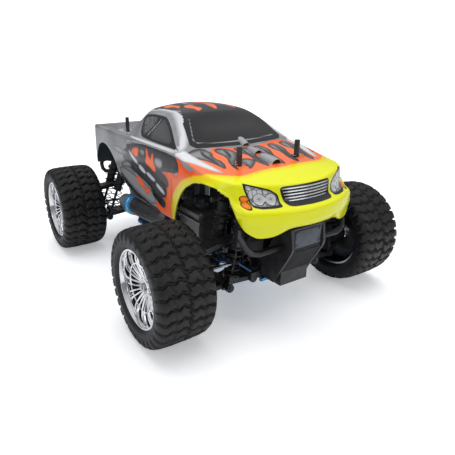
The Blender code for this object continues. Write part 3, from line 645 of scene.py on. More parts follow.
# grey flames on the bonnet
G = [[(-64, -86), (-50, -88), (-45, -98), (-51, -110), (-47, -122), (-55, -140), (-58, -122), (-64, -108), (-72, -100), (-80, -92)],
     [(-40, -92), (-28, -95), (-20, -104), (-24, -114), (-31, -122), (-40, -130), (-47, -152), (-45, -128), (-38, -114), (-42, -102)],
     [(-30, -124), (-20, -122), (-14, -131), (-20, -138), (-36, -150), (-30, -138), (-36, -130)],
     [(-20, -97), (-4, -99), (0, -108), (-6, -120), (-4, -132), (-12, -154), (-16, -134), (-13, -120), (-18, -110)],
     [(5, -99), (18, -98), (22, -112), (15, -124), (15, -138), (8, -154), (4, -136), (8, -122), (1, -110)],
     [(28, -97), (40, -95), (44, -110), (37, -124), (35, -140), (27, -153), (26, -134), (30, -120), (25, -108)],
     [(48, -93), (61, -90), (68, -106), (61, -124), (59, -140), (49, -150), (50, -130), (54, -116), (46, -104)],
     [(66, -96), (76, -92), (78, -108), (72, -130), (68, -118)]]
paint("bonnet_grey", GREY_RIM, GREY_CORE, 7.0, 1.5, top=G, smooth=1)
paint("bonnet_dark", (0.06, 0.06, 0.062), (0.026, 0.026, 0.028), 2.0, 1.6, smooth=1,
      top=[ribbon([(-54, -91), (-57, -102), (-55, -114), (-56, -130)], 5.0), ribbon([(-30, -97), (-31, -108), (-36, -118)], 5.0),
           ribbon([(-9, -101), (-12, -114), (-9, -128), (-12, -144)], 4.6), ribbon([(12, -101), (14, -116), (11, -130), (10, -144)], 4.6),
           ribbon([(35, -98), (36, -112), (32, -126), (30, -142)], 4.6), ribbon([(57, -94), (59, -108), (56, -122), (54, -138)], 5.0)])
paint("yellow_nose", YELLOW, YELLOW_CORE, 9.0, 2.6,
      side=[[(-75.5, 99), (-79, 118), (-92, 136), (-106, 147), (-128, 155), (-143, 157), (-157, 160), (-215, 166), (-215, 50), (-74, 50)]],
      top=[[(-110, -128), (-81, -131), (-65, -148), (-52, -158), (-42, -157), (-24, -154), (-1, -156), (17, -153), (50, -151), (61, -149),
            (81, -132), (110, -128), (110, -260), (-110, -260)]])
wing = [(-86, -78), (-68, -81), (-67, -104), (-63, -121), (-60.5, -145), (-67, -136), (-72.5, -122), (-77, -111), (-81, -102), (-87, -96)]
paint("white_wing", (0.44, 0.44, 0.45), (0.74, 0.75, 0.77), 3.0, 0.9, top=[wing, mirrored(wing)], smooth=1,
      side=[[(-66, 171), (-84, 169), (-97, 165.5), (-110, 164), (-122, 164), (-122, 171), (-100, 173), (-84, 175)]])
paint("cab_light", (0.40, 0.40, 0.41), (0.66, 0.67, 0.69), 4.0, 1.5,
      side=[[(-86, 168), (-72, 176), (-50, 187), (-26, 197), (-10, 200), (20, 199), (33, 197), (40, 188), (43, 176), (46, 169), (60, 205),
             (-40, 215), (-110, 180)]],
      top=[[(-44, -33), (-61, -84), (-84, -84), (-84, 40), (-55, 44), (55, 44), (84, 40), (84, -84), (61, -84), (44, -33), (36, -41), (14, -46),
            (-14, -46), (-36, -41)]])
R = [[(-44, -22), (-46, -36), (-36, -44), (-14, -49), (14, -49), (36, -44), (46, -36), (44, -22), (22, -32), (0, -26), (-22, -32)],
     [(-60, 40), (-52, 10), (-40, -20), (-30, -36), (30, -36), (40, -20), (52, 10), (60, 40), (30, 26), (10, 34), (-12, 24), (-34, 36)],
     [(-13, -24), (-13, -37), (-7, -44), (-18, -42), (-26, -40)], [(6, -18), (13, -30), (17, -44), (7, -42), (1, -34)],
     [(-44, 12), (-43, -1), (-38, -18), (-33, -33), (-34, -38), (-46, -28), (-50, 6)],
     [(-10, -12), (-4, -28), (-2, -43), (-13, -41), (-18, -31)], [(-24, 26), (-12, 8), (-14, -8), (-26, 4), (-32, 18)],
     [(8, 24), (20, 6), (18, -14), (4, 0), (0, 16)], [(30, 22), (40, 4), (38, -20), (28, -30), (26, -8)]]
paint("roof_dark", (0.09, 0.09, 0.092), (0.030, 0.030, 0.032), 4.0, 1.4, top=R)
O = [[(-30, 33), (-25, 22), (-31, 8), (-29, -8), (-38, -18), (-36, -4), (-43, 4), (-39, 18)],
     [(-25, -6), (-17, -12), (-20, -24), (-16, -36), (-26, -42), (-26, -30), (-32, -22)],
     [(-1, 20), (7, 10), (3, -4), (9, -18), (4, -34), (-2, -44), (-5, -30), (-1, -14), (-8, 2)],
     [(24, 20), (31, 8), (27, -6), (34, -20), (30, -40), (22, -30), (24, -14), (19, 2)]]
paint("roof_orange", SALMON, SALMON_CORE, 3.0, 1.2, top=O, smooth=1)
paint("roof_silver", (0.24, 0.24, 0.25), (0.52, 0.52, 0.54), 2.0, 1.3, smooth=1,
      top=[ribbon([(-50, 24), (-46, 6), (-46, -14), (-41, -30)], 4.5), ribbon([(-20, 30), (-14, 14), (-18, 0), (-12, -14)], 4.5),
           ribbon([(14, 30), (16, 12), (12, -4), (16, -24)], 4.5), ribbon([(44, 26), (42, 8), (44, -10), (38, -30)], 4.5)])
S = [[(-62.5, -84.5), (-42, -91), (0, -96), (42, -91), (62.5, -84.5), (58, -70), (49, -38), (45, -33.5), (36, -40.5), (14, -45.5),
      (-14, -45.5), (-36, -40.5), (-45, -33.5), (-49, -38), (-58, -70)]]
paint("screen_frame", (0.006, 0.006, 0.007), (0.007, 0.007, 0.008), 3.0, 0.5, top=S, smooth=1)
stripe = [ribbon([(-42.5, -47), (-50, -66), (-56, -80), (-40, -85), (-18, -88.5), (0, -89.5), (20, -88), (40, -84.5), (54, -80)], 1.7)]
paint("screen_stripe", (0.22, 0.22, 0.23), (0.34, 0.34, 0.35), 0.8, 0.5, top=stripe, smooth=1)
paint("screen_glass", (0.008, 0.008, 0.008), (0.020, 0.019, 0.019), 18.0, 0.8,
      top=[[(-50, -80), (-18, -86), (0, -87), (18, -86), (50, -79), (41, -54), (34, -50), (0, -54), (-34, -52), (-40, -53)]], smooth=1)
W = [[(36, 192), (24, 195), (-11, 195.5), (-24, 192.5), (-48, 183), (-69, 173.5), (-83, 168.5), (-76, 168), (-45, 169.5), (3, 170.5),
      (16, 173), (29, 184)]]
paint("side_frame", (0.006, 0.006, 0.007), (0.007, 0.007, 0.008), 3.0, 0.5, side=W, smooth=1)
paint("side_glass", (0.050, 0.050, 0.052), (0.075, 0.075, 0.078), 6.0, 0.7,
      side=[[(31, 190.5), (22, 192.5), (-3, 193), (3, 173), (14, 175.5), (26, 185)], [(-10, 193), (-24, 190), (-46, 181), (-62, 173.5),
                                                                                       (-44, 171.5), (-4, 172.5)]], smooth=1)
paint("side_stripe", (0.30, 0.30, 0.31), (0.42, 0.42, 0.43), 1.0, 0.8, side=[ribbon([(-8, 194), (-5, 184), (-1, 172)], 2.6)], smooth=1)
# a pale band along the shoulder crease under the windows: painted highlight where the crease catches the light
paint("belt_stripe", (0.40, 0.40, 0.42), (0.62, 0.63, 0.65), 1.2, 0.7,
      side=[ribbon([(52, 160), (30, 163.5), (5, 166), (-28, 167), (-55, 166)], 2.6)], smooth=1)
rail = [(-79, 47), (79, 47), (79, 163), (-79, 163), (-79, 160.8), (75.5, 160.8), (75.5, 49), (-75.5, 49), (-75.5, 160.8), (-79, 160.8)]
paint("bed_floor", (0.26, 0.26, 0.27), (0.50, 0.51, 0.52), 6.0, 0.8, top=[[(-72, 47.5), (72, 47.5), (72, 159), (-72, 159)]], smooth=0)
paint("bed_rail", (0.010, 0.010, 0.011), (0.012, 0.012, 0.013), 1.0, 0.5,
      top=[[(69.5, 50), (72.2, 50), (72.2, 157), (69.5, 157)], [(-72.2, 50), (-69.5, 50), (-69.5, 157), (-72.2, 157)]], smooth=0)

# lamps and grille on the nose, by distance from the middle line and height
lamp = [(63.4, 154.2), (58.5, 153.6), (34.6, 146.6), (32.0, 135.0), (35.0, 133.4), (57.8, 133.2), (58.6, 137), (59.4, 140)]
inner = [(61.4, 152.6), (58.0, 152.0), (36.0, 145.4), (33.8, 136.0), (36.0, 134.8), (56.6, 134.6), (57.4, 138), (58.4, 141)]
paint("lamp_frame", (0.006, 0.006, 0.007), (0.007, 0.007, 0.008), 3.0, 0.3, nose=[lamp], smooth=1)
paint("lamp_silver", (0.30, 0.31, 0.32), (0.58, 0.59, 0.61), 2.0, 0.3, nose=[inner], smooth=1)


def oval(cx, cz, a, b, n=20):
    return [(cx + a * math.cos(2 * math.pi * k / n), cz + b * math.sin(2 * math.pi * k / n)) for k in range(n)]


paint("amber_frame", (0.006, 0.006, 0.007), (0.007, 0.007, 0.008), 1.0, 0.3, nose=[oval(62.2, 140.8, 4.3, 3.0), oval(62.4, 135.6, 3.9, 2.8)],
      smooth=0)
paint("amber", (0.80, 0.16, 0.0), (1.0, 0.28, 0.01), 1.6, 0.3, nose=[oval(62.2, 140.8, 3.6, 2.3), oval(62.4, 135.6, 3.2, 2.1)], smooth=0)
paint("grille_black", (0.006, 0.006, 0.007), (0.008, 0.008, 0.009), 2.0, 0.4,
      nose=[[(-90, 150.2), (22, 150.2), (29.5, 150.0), (31.4, 148.2), (31.4, 145.5), (28.6, 135.4), (26.6, 133.8), (20, 133.4), (-90, 133.4)]], smooth=1)

body = piece("painted_shell", pts, faces, None, None)
mesh = body.data
names = {}
for i, (name, rim, core, depth, soft, values) in enumerate(LAYERS):
    attr = mesh.attributes.new("paint_" + name, "FLOAT", "POINT")
    attr.data.foreach_set("value", values.astype(np.float32))
centres = np.array([(50.4, 140.2), (40.4, 139.8)])
lamp_d = np.min(np.hypot(NOSE[:, None, 0] - centres[None, :, 0], NOSE[:, None, 1] - centres[None, :, 1]), axis=1)
lamp_d = np.where(in_nose, lamp_d, 60.0)
attr = mesh.attributes.new("lamp_radius", "FLOAT", "POINT")
attr.data.foreach_set("value", lamp_d.astype(np.float32))

n = Nodes("shell_livery")


def attribute(name):
    node = n.new("ShaderNodeAttribute", attribute_type="GEOMETRY", attribute_name=name)
    return node.outputs["Fac"]


drift = n.remap(n.noise(22.0, 5.0, 0.6), 0.3, 0.7, 0.0, 1.0)
colour = n.mix(drift, (0.17, 0.17, 0.175), (0.34, 0.345, 0.355))
wander = n.remap(n.noise(130.0, 3.0, 0.5), 0.0, 1.0, -0.7, 0.7)
for name, rim, core, depth, soft, values in LAYERS:
    d = attribute("paint_" + name)
    if soft >= 0.7:
        d = n.math("ADD", d, wander)
    shade = n.mix(n.remap(d, -depth, 0.0, 0.0, 1.0, True), core, rim)
    colour = n.mix(n.remap(d, -soft * 0.5, soft * 0.5, 1.0, 0.0, True), colour, shade)
# segmented upper part of the lamps, then the two round lamps with rings
cells = n.new("ShaderNodeTexVoronoi", feature="DISTANCE_TO_EDGE")
cells.inputs["Scale"].default_value = 190.0
n.link(n.coord.outputs["Object"], cells.inputs["Vector"])
in_lamp = n.remap(attribute("paint_lamp_silver"), -0.2, 0.0, 1.0, 0.0)
lines = n.remap(cells.outputs["Distance"], 0.03, 0.09, 0.75, 0.0)
colour = n.mix(n.math("MULTIPLY", in_lamp, lines), colour, (0.02, 0.02, 0.022))
r = attribute("lamp_radius")
ramp = n.new("ShaderNodeValToRGB")
ramp.color_ramp.interpolation = "LINEAR"
stops = [(0.0, 0.70), (0.10, 0.60), (0.16, 0.26), (0.24, 0.30), (0.32, 0.62), (0.42, 0.50), (0.52, 0.66), (0.64, 0.52), (0.76, 0.72),
         (0.84, 0.60), (0.89, 0.03), (1.0, 0.02)]
while len(ramp.color_ramp.elements) < len(stops):
    ramp.color_ramp.elements.new(0.5)
for el, (pos, v) in zip(ramp.color_ramp.elements, stops):
    el.position = pos
    el.color = (v, v, v * 1.02, 1)
n.link(n.remap(r, 0.0, 5.4, 0.0, 1.0), ramp.inputs["Fac"])
colour = n.mix(n.math("MULTIPLY", n.remap(r, 5.0, 5.3, 1.0, 0.0), n.remap(attribute("paint_lamp_silver"), 0.0, 0.6, 1.0, 0.0)), colour,
               ramp.outputs["Color"])
# speckle on the rear side glass, ribs on the load bed floor with painted shade along them
speck = n.remap(n.noise(420.0, 2.0, 0.5), 0.52, 0.60, 0.0, 0.35)
split = n.new("ShaderNodeSeparateXYZ")
n.link(n.coord.outputs["Object"], split.inputs[0])
rear_half = n.remap(split.outputs[1], 0.0, 0.006, 0.0, 1.0)
glass = n.remap(attribute("paint_side_glass"), -1.0, 0.0, 1.0, 0.0)
colour = n.mix(n.math("MULTIPLY", n.math("MULTIPLY", speck, rear_half), glass), colour, (0.40, 0.40, 0.41))
wave = n.math("SINE", n.math("MULTIPLY", split.outputs[0], 2 * math.pi / 0.0125))
bed = n.remap(attribute("paint_bed_floor"), -3.0, -1.0, 1.0, 0.0)
ribs = n.math("MULTIPLY", n.remap(wave, 0.1, 0.6, 0.0, 1.0, True), bed)
# dark bands over the bed ribs: painted shade of the ridges
colour = n.mix(n.math("MULTIPLY", ribs, 0.55), colour, (0.10, 0.10, 0.105))
flake = n.noise(5200.0, 2.0, 0.5)
peel = n.noise(260.0, 2.0, 0.5)
n.set(Base_Color=colour, Metallic=0.0, Roughness=n.remap(n.noise(70.0, 4.0, 0.6), 0.3, 0.7, 0.16, 0.27),
      Normal=n.bump(ribs, 0.6, 0.0009, n.bump(peel, 0.05, 0.0004, n.bump(flake, 0.015, 0.0002))))
n.shader.inputs["Specular IOR Level"].default_value = 0.38
n.shader.inputs["Coat Weight"].default_value = 0.3
n.shader.inputs["Coat Roughness"].default_value = 0.05
mesh.materials.append(n.mat)
mesh.materials.append(LINER)
outward(body)
solid = body.modifiers.new("wall", "SOLIDIFY")
solid.thickness = 0.0012
solid.offset = -1.0
solid.material_offset = 1
solid.use_even_offset = False
bpy.context.view_layer.objects.active = body
body.select_set(True)
bpy.ops.object.modifier_apply(modifier="wall")
body.select_set(False)
mesh.shade_smooth()
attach(body, "body_shell")
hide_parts("body_shell")


def nose_surface(x, z):
    """Where the nose wall is at this width and height."""
    base = body_point(-191.0, min(1.0, abs(x) / 68.0))
    lv = wall_levels(x, base[1], "nose")
    zs = [base[2]] + [l[2] for l in lv]
    ys = [base[1]] + [base[1] + l[1] for l in lv]
    return float(np.interp(-z, [-v for v in zs], ys))


# chrome slats
bars = []
for k in range(5):
    z = 136.8 + k * 2.75
    reach = 25.5 + (z - 135.0) * 0.33
    path, radii = [], []
    for i in range(33):
        x = -reach + 2 * reach * i / 32
        path.append((x, nose_surface(x, z) - 0.15, z))
        radii.append(0.78 * min(1.0, 0.35 + 3.0 * (1 - abs(2 * i / 32 - 1))))
    bars.append(tube(path, radii, 10))
grille = piece("grille_slats", *gather(bars), CHROME, "body_shell", slot="chrome")

# air scoops half sunk in the bonnet
scoop_parts, mouth_parts = [], []
for y0, length, r in ((-95.5, 15.0, 5.2), (-117.5, 20.0, 6.0), (-146.5, 29.0, 7.2)):
    z0, z1 = top_height(0, y0), top_height(0, y0 + length)
    d = Vector((0, length, z1 - z0)).normalized()
    start = Vector((0, y0, z0 - 2.0))
    profile = [(5.0, r * 0.78), (0.4, r * 0.86), (0.0, r * 0.92), (0.25, r * 0.98), (1.2, r)]
    for i in range(1, 15):
        s = i / 14
        profile.append((1.2 + (length - 1.2) * s, r * math.sqrt(max(0.0, 1 - s ** 2.6)) if i < 14 else 0.2))
    scoop_parts.append(lathe(profile, start, d, 40))
    mouth_parts.append(lathe([(1.6, 0.05), (1.5, r * 0.5), (1.2, r * 0.84)], start, d, 40))
scoops = piece("bonnet_scoops", *gather(scoop_parts), SILVER, "body_shell", slot="body_paint")
outward(scoops)
mouths = piece("scoop_mouths", *gather(mouth_parts), BLACK_GLOSS, "body_shell", slot="black_plastic")
outward(mouths)

# wire clips through the body posts
wires = []
for sx in (-1, 1):
    for ey in (-1, 1):
        x, y = 38.0 * sx, 135.0 * ey
        z = top_height(x, y) + 1.2
        path = []
        for i in range(25):
            a = math.radians(-150 + 300 * i / 24)
            path.append((x + 4.3 * math.cos(a) * 0.8 + 5.4, y + 3.6 * math.sin(a), z + 0.7 + 0.5 * math.sin(a)))
        head = [(x - 5.5, y - 0.5, z + 0.4), (x - 2, y - 0.9, z + 0.5)]
        tail = [(x - 1.5, y + 2.6, z + 0.6), (x - 4.0, y + 3.9, z + 0.5), (x - 6.2, y + 2.8, z + 0.4)]
        wires.append(tube(head + path + tail, 0.45, 8))
clips = piece("body_clips", *gather(wires), STEEL, "body_shell", slot="steel")

# ---------------------------------------------------------------- tyres and rims

BARS = 31
ROUND = BARS * 16


def tyre_mesh():
    base = [(26.6, 39.6), (27.8, 40.6), (28.7, 42.2), (29.1, 44.4), (29.0, 47.0), (28.4, 49.4), (27.4, 51.3), (25.8, 52.7), (23.0, 53.6),
            (17.0, 54.2), (9.0, 54.5), (0.0, 54.6)]
    pts2 = np.array(base + [(-w, r) for w, r in base[-2::-1]])
    arc = np.concatenate([[0], np.cumsum(np.hypot(*np.diff(pts2, axis=0).T))])
    count = 104
    s = np.linspace(0, arc[-1], count)
    w = np.interp(s, arc, pts2[:, 0])
    r = np.interp(s, arc, pts2[:, 1])
    tw, tr = np.gradient(w), np.gradient(r)
    length = np.hypot(tw, tr)
    nw, nr = -tr / length, tw / length
    if nr[count // 2] < 0:
        nw, nr = -nw, -nr
    # keep the outward sense on both walls
    phi = np.linspace(0, 2 * np.pi, ROUND, endpoint=False)
    P, W = np.meshgrid(phi, w, indexing="ij")
    Rb = np.broadcast_to(r, W.shape)
    side = np.where(W >= 0, 1.0, -1.0)
    aw = np.abs(W)
    turn = P * BARS / (2 * np.pi)
    phase = turn + np.where(side > 0, 0.5, 0.0) + 0.105 * np.sin(2 * np.pi * aw / 10.5 + 0.6 * side) + 0.008 * aw
    u = phase - np.floor(phase)
    pitch = 2 * np.pi * 56 / BARS
    gap = np.minimum(u, 1 - u) * pitch

    def step(v):
        v = np.clip(v, 0, 1)
        return v * v * (3 - 2 * v)

    lug = step((gap - 1.25) / 0.75)
    zig = 1.4 * (2 * np.abs(2 * (turn - np.floor(turn)) - 1) - 1)
    centre = np.abs(W - zig)
    lug = lug * step((centre - 0.55) / 0.7)
    # a shallow cut across each bar
    cut = np.abs(aw - 14.5 - 1.2 * np.sin(2 * np.pi * turn))
    lug = lug * (0.70 + 0.30 * step((cut - 0.5) / 0.9))
    height = np.interp(Rb, [46.2, 48.2, 51.0, 52.9, 53.8], [0.0, 0.9, 1.8, 2.9, 3.35])
    ridge = 0.16 * np.cos(2 * np.pi * (gap - 1.9) / 2.7) * lug
    lift = lug * height + ridge
    lift += 0.22 * np.exp(-((Rb - 43.4) / 0.5) ** 2)
    ow = W + nw[None, :] * lift
    orr = Rb + nr[None, :] * lift
    ow = np.clip(ow, -29.9, 29.9)
    orr = np.minimum(orr, 57.95)
    verts = np.stack([ow, orr * np.cos(P), orr * np.sin(P)], axis=-1).reshape(-1, 3)
    faces2 = []
    for i in range(ROUND):
        j = (i + 1) % ROUND
        a, b = i * count, j * count
        for k in range(count - 1):
            faces2.append((a + k, a + k + 1, b + k + 1, b + k))
    # inner lining that closes the tyre on the rim
    n0 = len(verts)
    inner = [(-26.6, 39.45), (26.6, 39.45)]
    lining = np.array([[wv, rv * math.cos(p), rv * math.sin(p)] for p in phi for wv, rv in inner])
    verts = np.concatenate([verts, lining])
    for i in range(ROUND):
        j = (i + 1) % ROUND
        a0, a1, b0, b1 = n0 + 2 * i, n0 + 2 * i + 1, n0 + 2 * j, n0 + 2 * j + 1
        faces2.append((a0, a1, b1, b0))
        faces2.append((i * count, a1, b1, j * count)[::-1])
        faces2.append((i * count + count - 1, a0, b0, j * count + count - 1))
    return verts, faces2


tv, tf = tyre_mesh()
tyre_data = None
for c, (s, e) in CORNERS.items():
    if tyre_data is None:
        obj = piece("tread_" + c, tv, tf, RUBBER, None, place=False)
        outward(obj)
        tyre_data = obj.data
    else:
        obj = bpy.data.objects.new("tread_" + c, tyre_data)
        bpy.context.scene.collection.objects.link(obj)
    obj.matrix_world = Matrix.Translation(metres(127.6 * s, 135.0 * e, 58.0)) @ Matrix.Rotation(math.pi if s < 0 else 0, 4, "Z")
    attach(obj, "wheel_" + c)
    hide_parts("tyre_" + c)


def rim_mesh():
    """Local frame: X outward from the wheel's middle plane, in millimetres."""
    parts = []
    barrel = [(-22.0, 36.8), (-22.0, 38.8), (-20.5, 39.2), (24.0, 39.2), (25.2, 39.2), (26.0, 38.6), (26.3, 37.6), (26.1, 36.7), (25.0, 36.2),
              (22.5, 35.7), (20.5, 35.2), (17.0, 35.0), (15.6, 35.2), (14.0, 35.6)]
    v, f = lathe(barrel, (0, 0, 0), (1, 0, 0), 112)
    f = [q for q in f if len(q) == 4]
    parts.append((v, f))
    # slender paired spokes, dished towards the hub
    for k in range(12):
        for side in (-1, 1):
            a0 = 2 * math.pi * k / 12 + side * 0.120
            a1 = 2 * math.pi * k / 12 + side * 0.165
            path, radii = [], []
            for i in range(9):
                q = i / 8
                rr = 8.2 + (35.6 - 8.2) * q
                a = a0 + (a1 - a0) * q
                xx = 15.5 + 5.5 * math.sin(0.5 * math.pi * min(1.0, q * 1.25)) - 1.2 * max(0.0, q - 0.8) * 5
                path.append((xx, rr * math.cos(a), rr * math.sin(a)))
                radii.append(1.15 - 0.20 * math.sin(math.pi * q))
            parts.append(tube(path, radii, 8))
        a = 2 * math.pi * (k + 0.5) / 12
        path = [(20.6 - 0.8 * i / 6, (24 + 11.6 * i / 6) * math.cos(a), (24 + 11.6 * i / 6) * math.sin(a)) for i in range(7)]
        parts.append(tube(path, [0.9] * 7, 8))
    # an inner ring ties the spokes
    ring = [(20.4, 23.5 * math.cos(2 * math.pi * i / 80), 23.5 * math.sin(2 * math.pi * i / 80)) for i in range(80)]
    parts.append(tube(ring, 0.85, 8, closed=True))
    hub = [(2.0, 6.0), (5.5, 10.2), (13.5, 10.6), (15.6, 10.0), (16.8, 8.6), (17.2, 6.8), (15.8, 6.2), (15.8, 5.2)]
    parts.append(lathe(hub, (0, 0, 0), (1, 0, 0), 56))
    for k in range(10):
        a = 2 * math.pi * (k + 0.5) / 10
        parts.append(lathe([(15.2, 0.9), (17.4, 0.9), (17.7, 0.6)], (0, 8.4 * math.cos(a), 8.4 * math.sin(a)), (1, 0, 0), 10))
    return gather(parts)


def barrel_mesh():
    v, f = lathe([(14.2, 35.6), (12.0, 36.2), (-18.0, 36.6), (-21.4, 36.7), (-22.1, 36.8)], (0, 0, 0), (1, 0, 0), 96)
    f = [q for q in f if len(q) == 4]
    back = lathe([(-1.0, 9.0), (0.5, 12.0), (2.0, 20.0), (1.0, 30.0), (-2.0, 36.5)], (0, 0, 0), (1, 0, 0), 96)
    return gather([(v, f), (back[0], [q for q in back[1] if len(q) == 4])])


def axle_mesh():
    parts = [lathe([(-4.6, 3.2), (2.2, 3.2), (2.2, 8.0), (4.6, 8.4), (4.6, 3.0)], (0, 0, 0), (1, 0, 0), 6),
             lathe([(13.0, 2.0), (20.6, 2.0), (21.2, 1.5)], (0, 0, 0), (1, 0, 0), 24),
             lathe([(15.6, 5.6), (16.4, 5.8), (16.5, 4.4), (19.0, 4.2), (19.6, 3.5), (19.6, 2.0)], (0, 0, 0), (1, 0, 0), 6)]
    return gather(parts)


def cup_mesh():
    """The drive cup and stub axle on the inner side."""
    profile = [(-30.6, 4.9), (-30.6, 6.4), (-30.1, 6.9), (-24.0, 6.9), (-23.4, 6.3), (-21.6, 6.3), (-21.0, 6.9), (-9.2, 6.9), (-8.6, 6.3),
               (-8.6, 4.9), (-2.0, 4.9), (-2.0, 0.1)]
    v, f = lathe(profile, (0, 0, 0), (1, 0, 0), 40)
    inner = lathe([(-30.6, 4.9), (-17.7, 4.9), (-17.7, 0.1)], (0, 0, 0), (1, 0, 0), 40)
    f = [q for q in f if len(q) == 4]
    inner = (inner[0], [q for q in inner[1] if len(q) == 4])
    return gather([(v, f), inner])


rims = rim_mesh()
barrels = barrel_mesh()
axles = axle_mesh()
cups = cup_mesh()
for c, (s, e) in CORNERS.items():
    spin = {"fr": 0.12, "fl": 0.5, "rr": 0.33, "rl": 0.2}[c]
    place = Matrix.Translation(metres(127.6 * s, 135.0 * e, 58.0)) @ Matrix.Rotation(spin, 4, "X") @ Matrix.Rotation(math.pi if s < 0 else 0, 4, "Z")
    for name, (v, f), mat, slot in (("spokes_", rims, CHROME, "chrome"), ("barrel_", barrels, BARREL, "chrome"), ("hub_nut_", axles, STEEL, "steel"), ("drive_cup_", cups, STEEL, "steel")):
        obj = piece(name + c, v, f, mat, None, place=False)
        outward(obj)
        sharpen(obj, 38)
        obj.matrix_world = place
        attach(obj, "wheel_" + c)
        if name == "spokes_":
            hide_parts("rim_" + c)

# ---------------------------------------------------------------- springs

TOPS = {"f": (42.0, 124.0), "r": (52.0, 118.0)}
LOWS = {"f": (60.0, 40.4), "r": (82.0, 38.4)}
for c, (s, e) in CORNERS.items():
    top, low = TOPS[c[0]], LOWS[c[0]]
    for side, dy in (("front", -17.0), ("rear", 17.0)):
        a = Vector((top[0] * s, 135.0 * e + dy, top[1]))
        b = Vector((low[0] * s, 135.0 * e + dy, low[1]))
        d = (b - a).normalized()
        total = (b - a).length
        u = d.orthogonal().normalized()
        v = d.cross(u)
        h0, h1 = 17.9, total - 14.9
        turns = 8.5
        path = []
        count = int(turns * 20)
        for i in range(count + 1):
            q = i / count
            t = q * turns
            # closed end turns, then an even pitch
            ends = 0.8
            if t < ends:
                h = 0.9 * t
            elif t > turns - ends:
                h = (h1 - h0) - 0.9 * (turns - t)
            else:
                h = 0.9 * ends + ((h1 - h0) - 1.8 * ends) * (t - ends) / (turns - 2 * ends)
            ang = 2 * math.pi * t
            path.append(a + d * (h0 + h) + u * (7.6 * math.cos(ang)) + v * (7.6 * math.sin(ang)))
        obj = piece(f"coil_{c}_{side}", *tube(path, 0.75, 8), DARK_STEEL)
        start, end = a + d * h0, a + d * h1
        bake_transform(obj)
        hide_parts(f"spring_{c}_{side}")

# ---------------------------------------------------------------- bumper and chassis details

for ey, name in ((-1, "front"), (1, "rear")):
    tilt = math.atan2(17.5, 31.0)
    rot = Matrix.Rotation(tilt * ey * -1, 4, "X")
    parts = []
    for i in range(15):
        x = -18.2 + 36.4 * i / 14
        parts.append(block((x, 186.0 * ey, 72.0), (1.2, 6.2, 33.0), 0.35))
    v, f = gather(parts)
    c0 = Vector((0, 186.0 * ey, 72.0))
    turned = [Matrix.Rotation(tilt * (1 if ey < 0 else -1), 3, "X") @ (Vector(p) - c0) + c0 for p in v]
    piece("skid_ribs_" + name, turned, f, SATIN, "root", smooth=False, slot="black_plastic")
    plate_parts = [block((0, 196.3 * ey, 98.0), (33.0, 1.2, 17.0), 0.5)]
    for sx in (-1, 1):
        for zz in (91.5, 104.5):
            plate_parts.append(lathe([(0.0, 1.5), (0.7, 1.5), (1.0, 1.1)], (14.6 * sx, 196.7 * ey, zz), (0, ey, 0), 6))
    piece("bumper_plate_" + name, *gather(plate_parts), BLUE_GREY, "root", slot="black_plastic")

# ---------------------------------------------------------------- finishes of the CAD nodes

silencer = Nodes("silencer_finish")
split = silencer.new("ShaderNodeSeparateXYZ")
silencer.link(silencer.coord.outputs["Object"], split.inputs[0])
p0 = metres(-66, -44, 81.5)
p1 = metres(-66, 103, 66.5)
total = (p1 - p0).length * 1000
ax = (p1 - p0).normalized()
h = silencer.math("ADD", silencer.math("MULTIPLY", silencer.math("SUBTRACT", split.outputs[1], p0.y), ax.y * 1000),
                  silencer.math("MULTIPLY", silencer.math("SUBTRACT", split.outputs[2], p0.z), ax.z * 1000))
brush = silencer.noise(1800.0, 3.0, 0.6, (1.0, 0.1, 1.0))
mott = silencer.noise(60.0, 5.0, 0.6)
dark = silencer.mix(silencer.remap(mott, 0.3, 0.7, 0.0, 1.0), (0.060, 0.060, 0.064), (0.105, 0.105, 0.110))
light = silencer.mix(silencer.remap(mott, 0.3, 0.7, 0.0, 1.0), (0.30, 0.30, 0.31), (0.44, 0.44, 0.45))
blue = silencer.mix(silencer.remap(mott, 0.3, 0.7, 0.0, 1.0), (0.10, 0.36, 0.66), (0.16, 0.48, 0.80))
col = silencer.mix(silencer.remap(h, total - 57.2, total - 56.8, 0.0, 1.0), dark, blue)
col = silencer.mix(silencer.remap(h, total - 35.2, total - 34.8, 0.0, 1.0), col, light)
silencer.set(Base_Color=col, Metallic=0.55, Roughness=silencer.remap(brush, 0.3, 0.7, 0.22, 0.40), Normal=silencer.bump(brush, 0.06, 0.0003))

FINISH = {"chassis_plate": BLUE, "engine": CAST, "silencer": silencer.mat, "fuel_tank": TANK, "tank_cap": SATIN, "exhaust_header": STEEL,
          "radio_box": SATIN, "centre_drive": DARK_STEEL, "steering_slider": PLASTIC}
for name, obj in frame["nodes"].items():
    mat = FINISH.get(name)
    if mat is None:
        mat = PLASTIC
        if name.startswith("shock_rod"):
            mat = DARK_STEEL
        elif name.startswith(("tie_rod", "driveshaft")):
            mat = STEEL
        elif name.startswith("shock_body"):
            mat = SATIN
        elif name.startswith("tyre"):
            mat = RUBBER
        elif name.startswith("rim"):
            mat = CHROME
        elif name.startswith("spring"):
            mat = DARK_STEEL
    mesh = obj.data
    mesh.materials.clear()
    mesh.materials.append(mat)

# ---------------------------------------------------------------- floor, light, camera

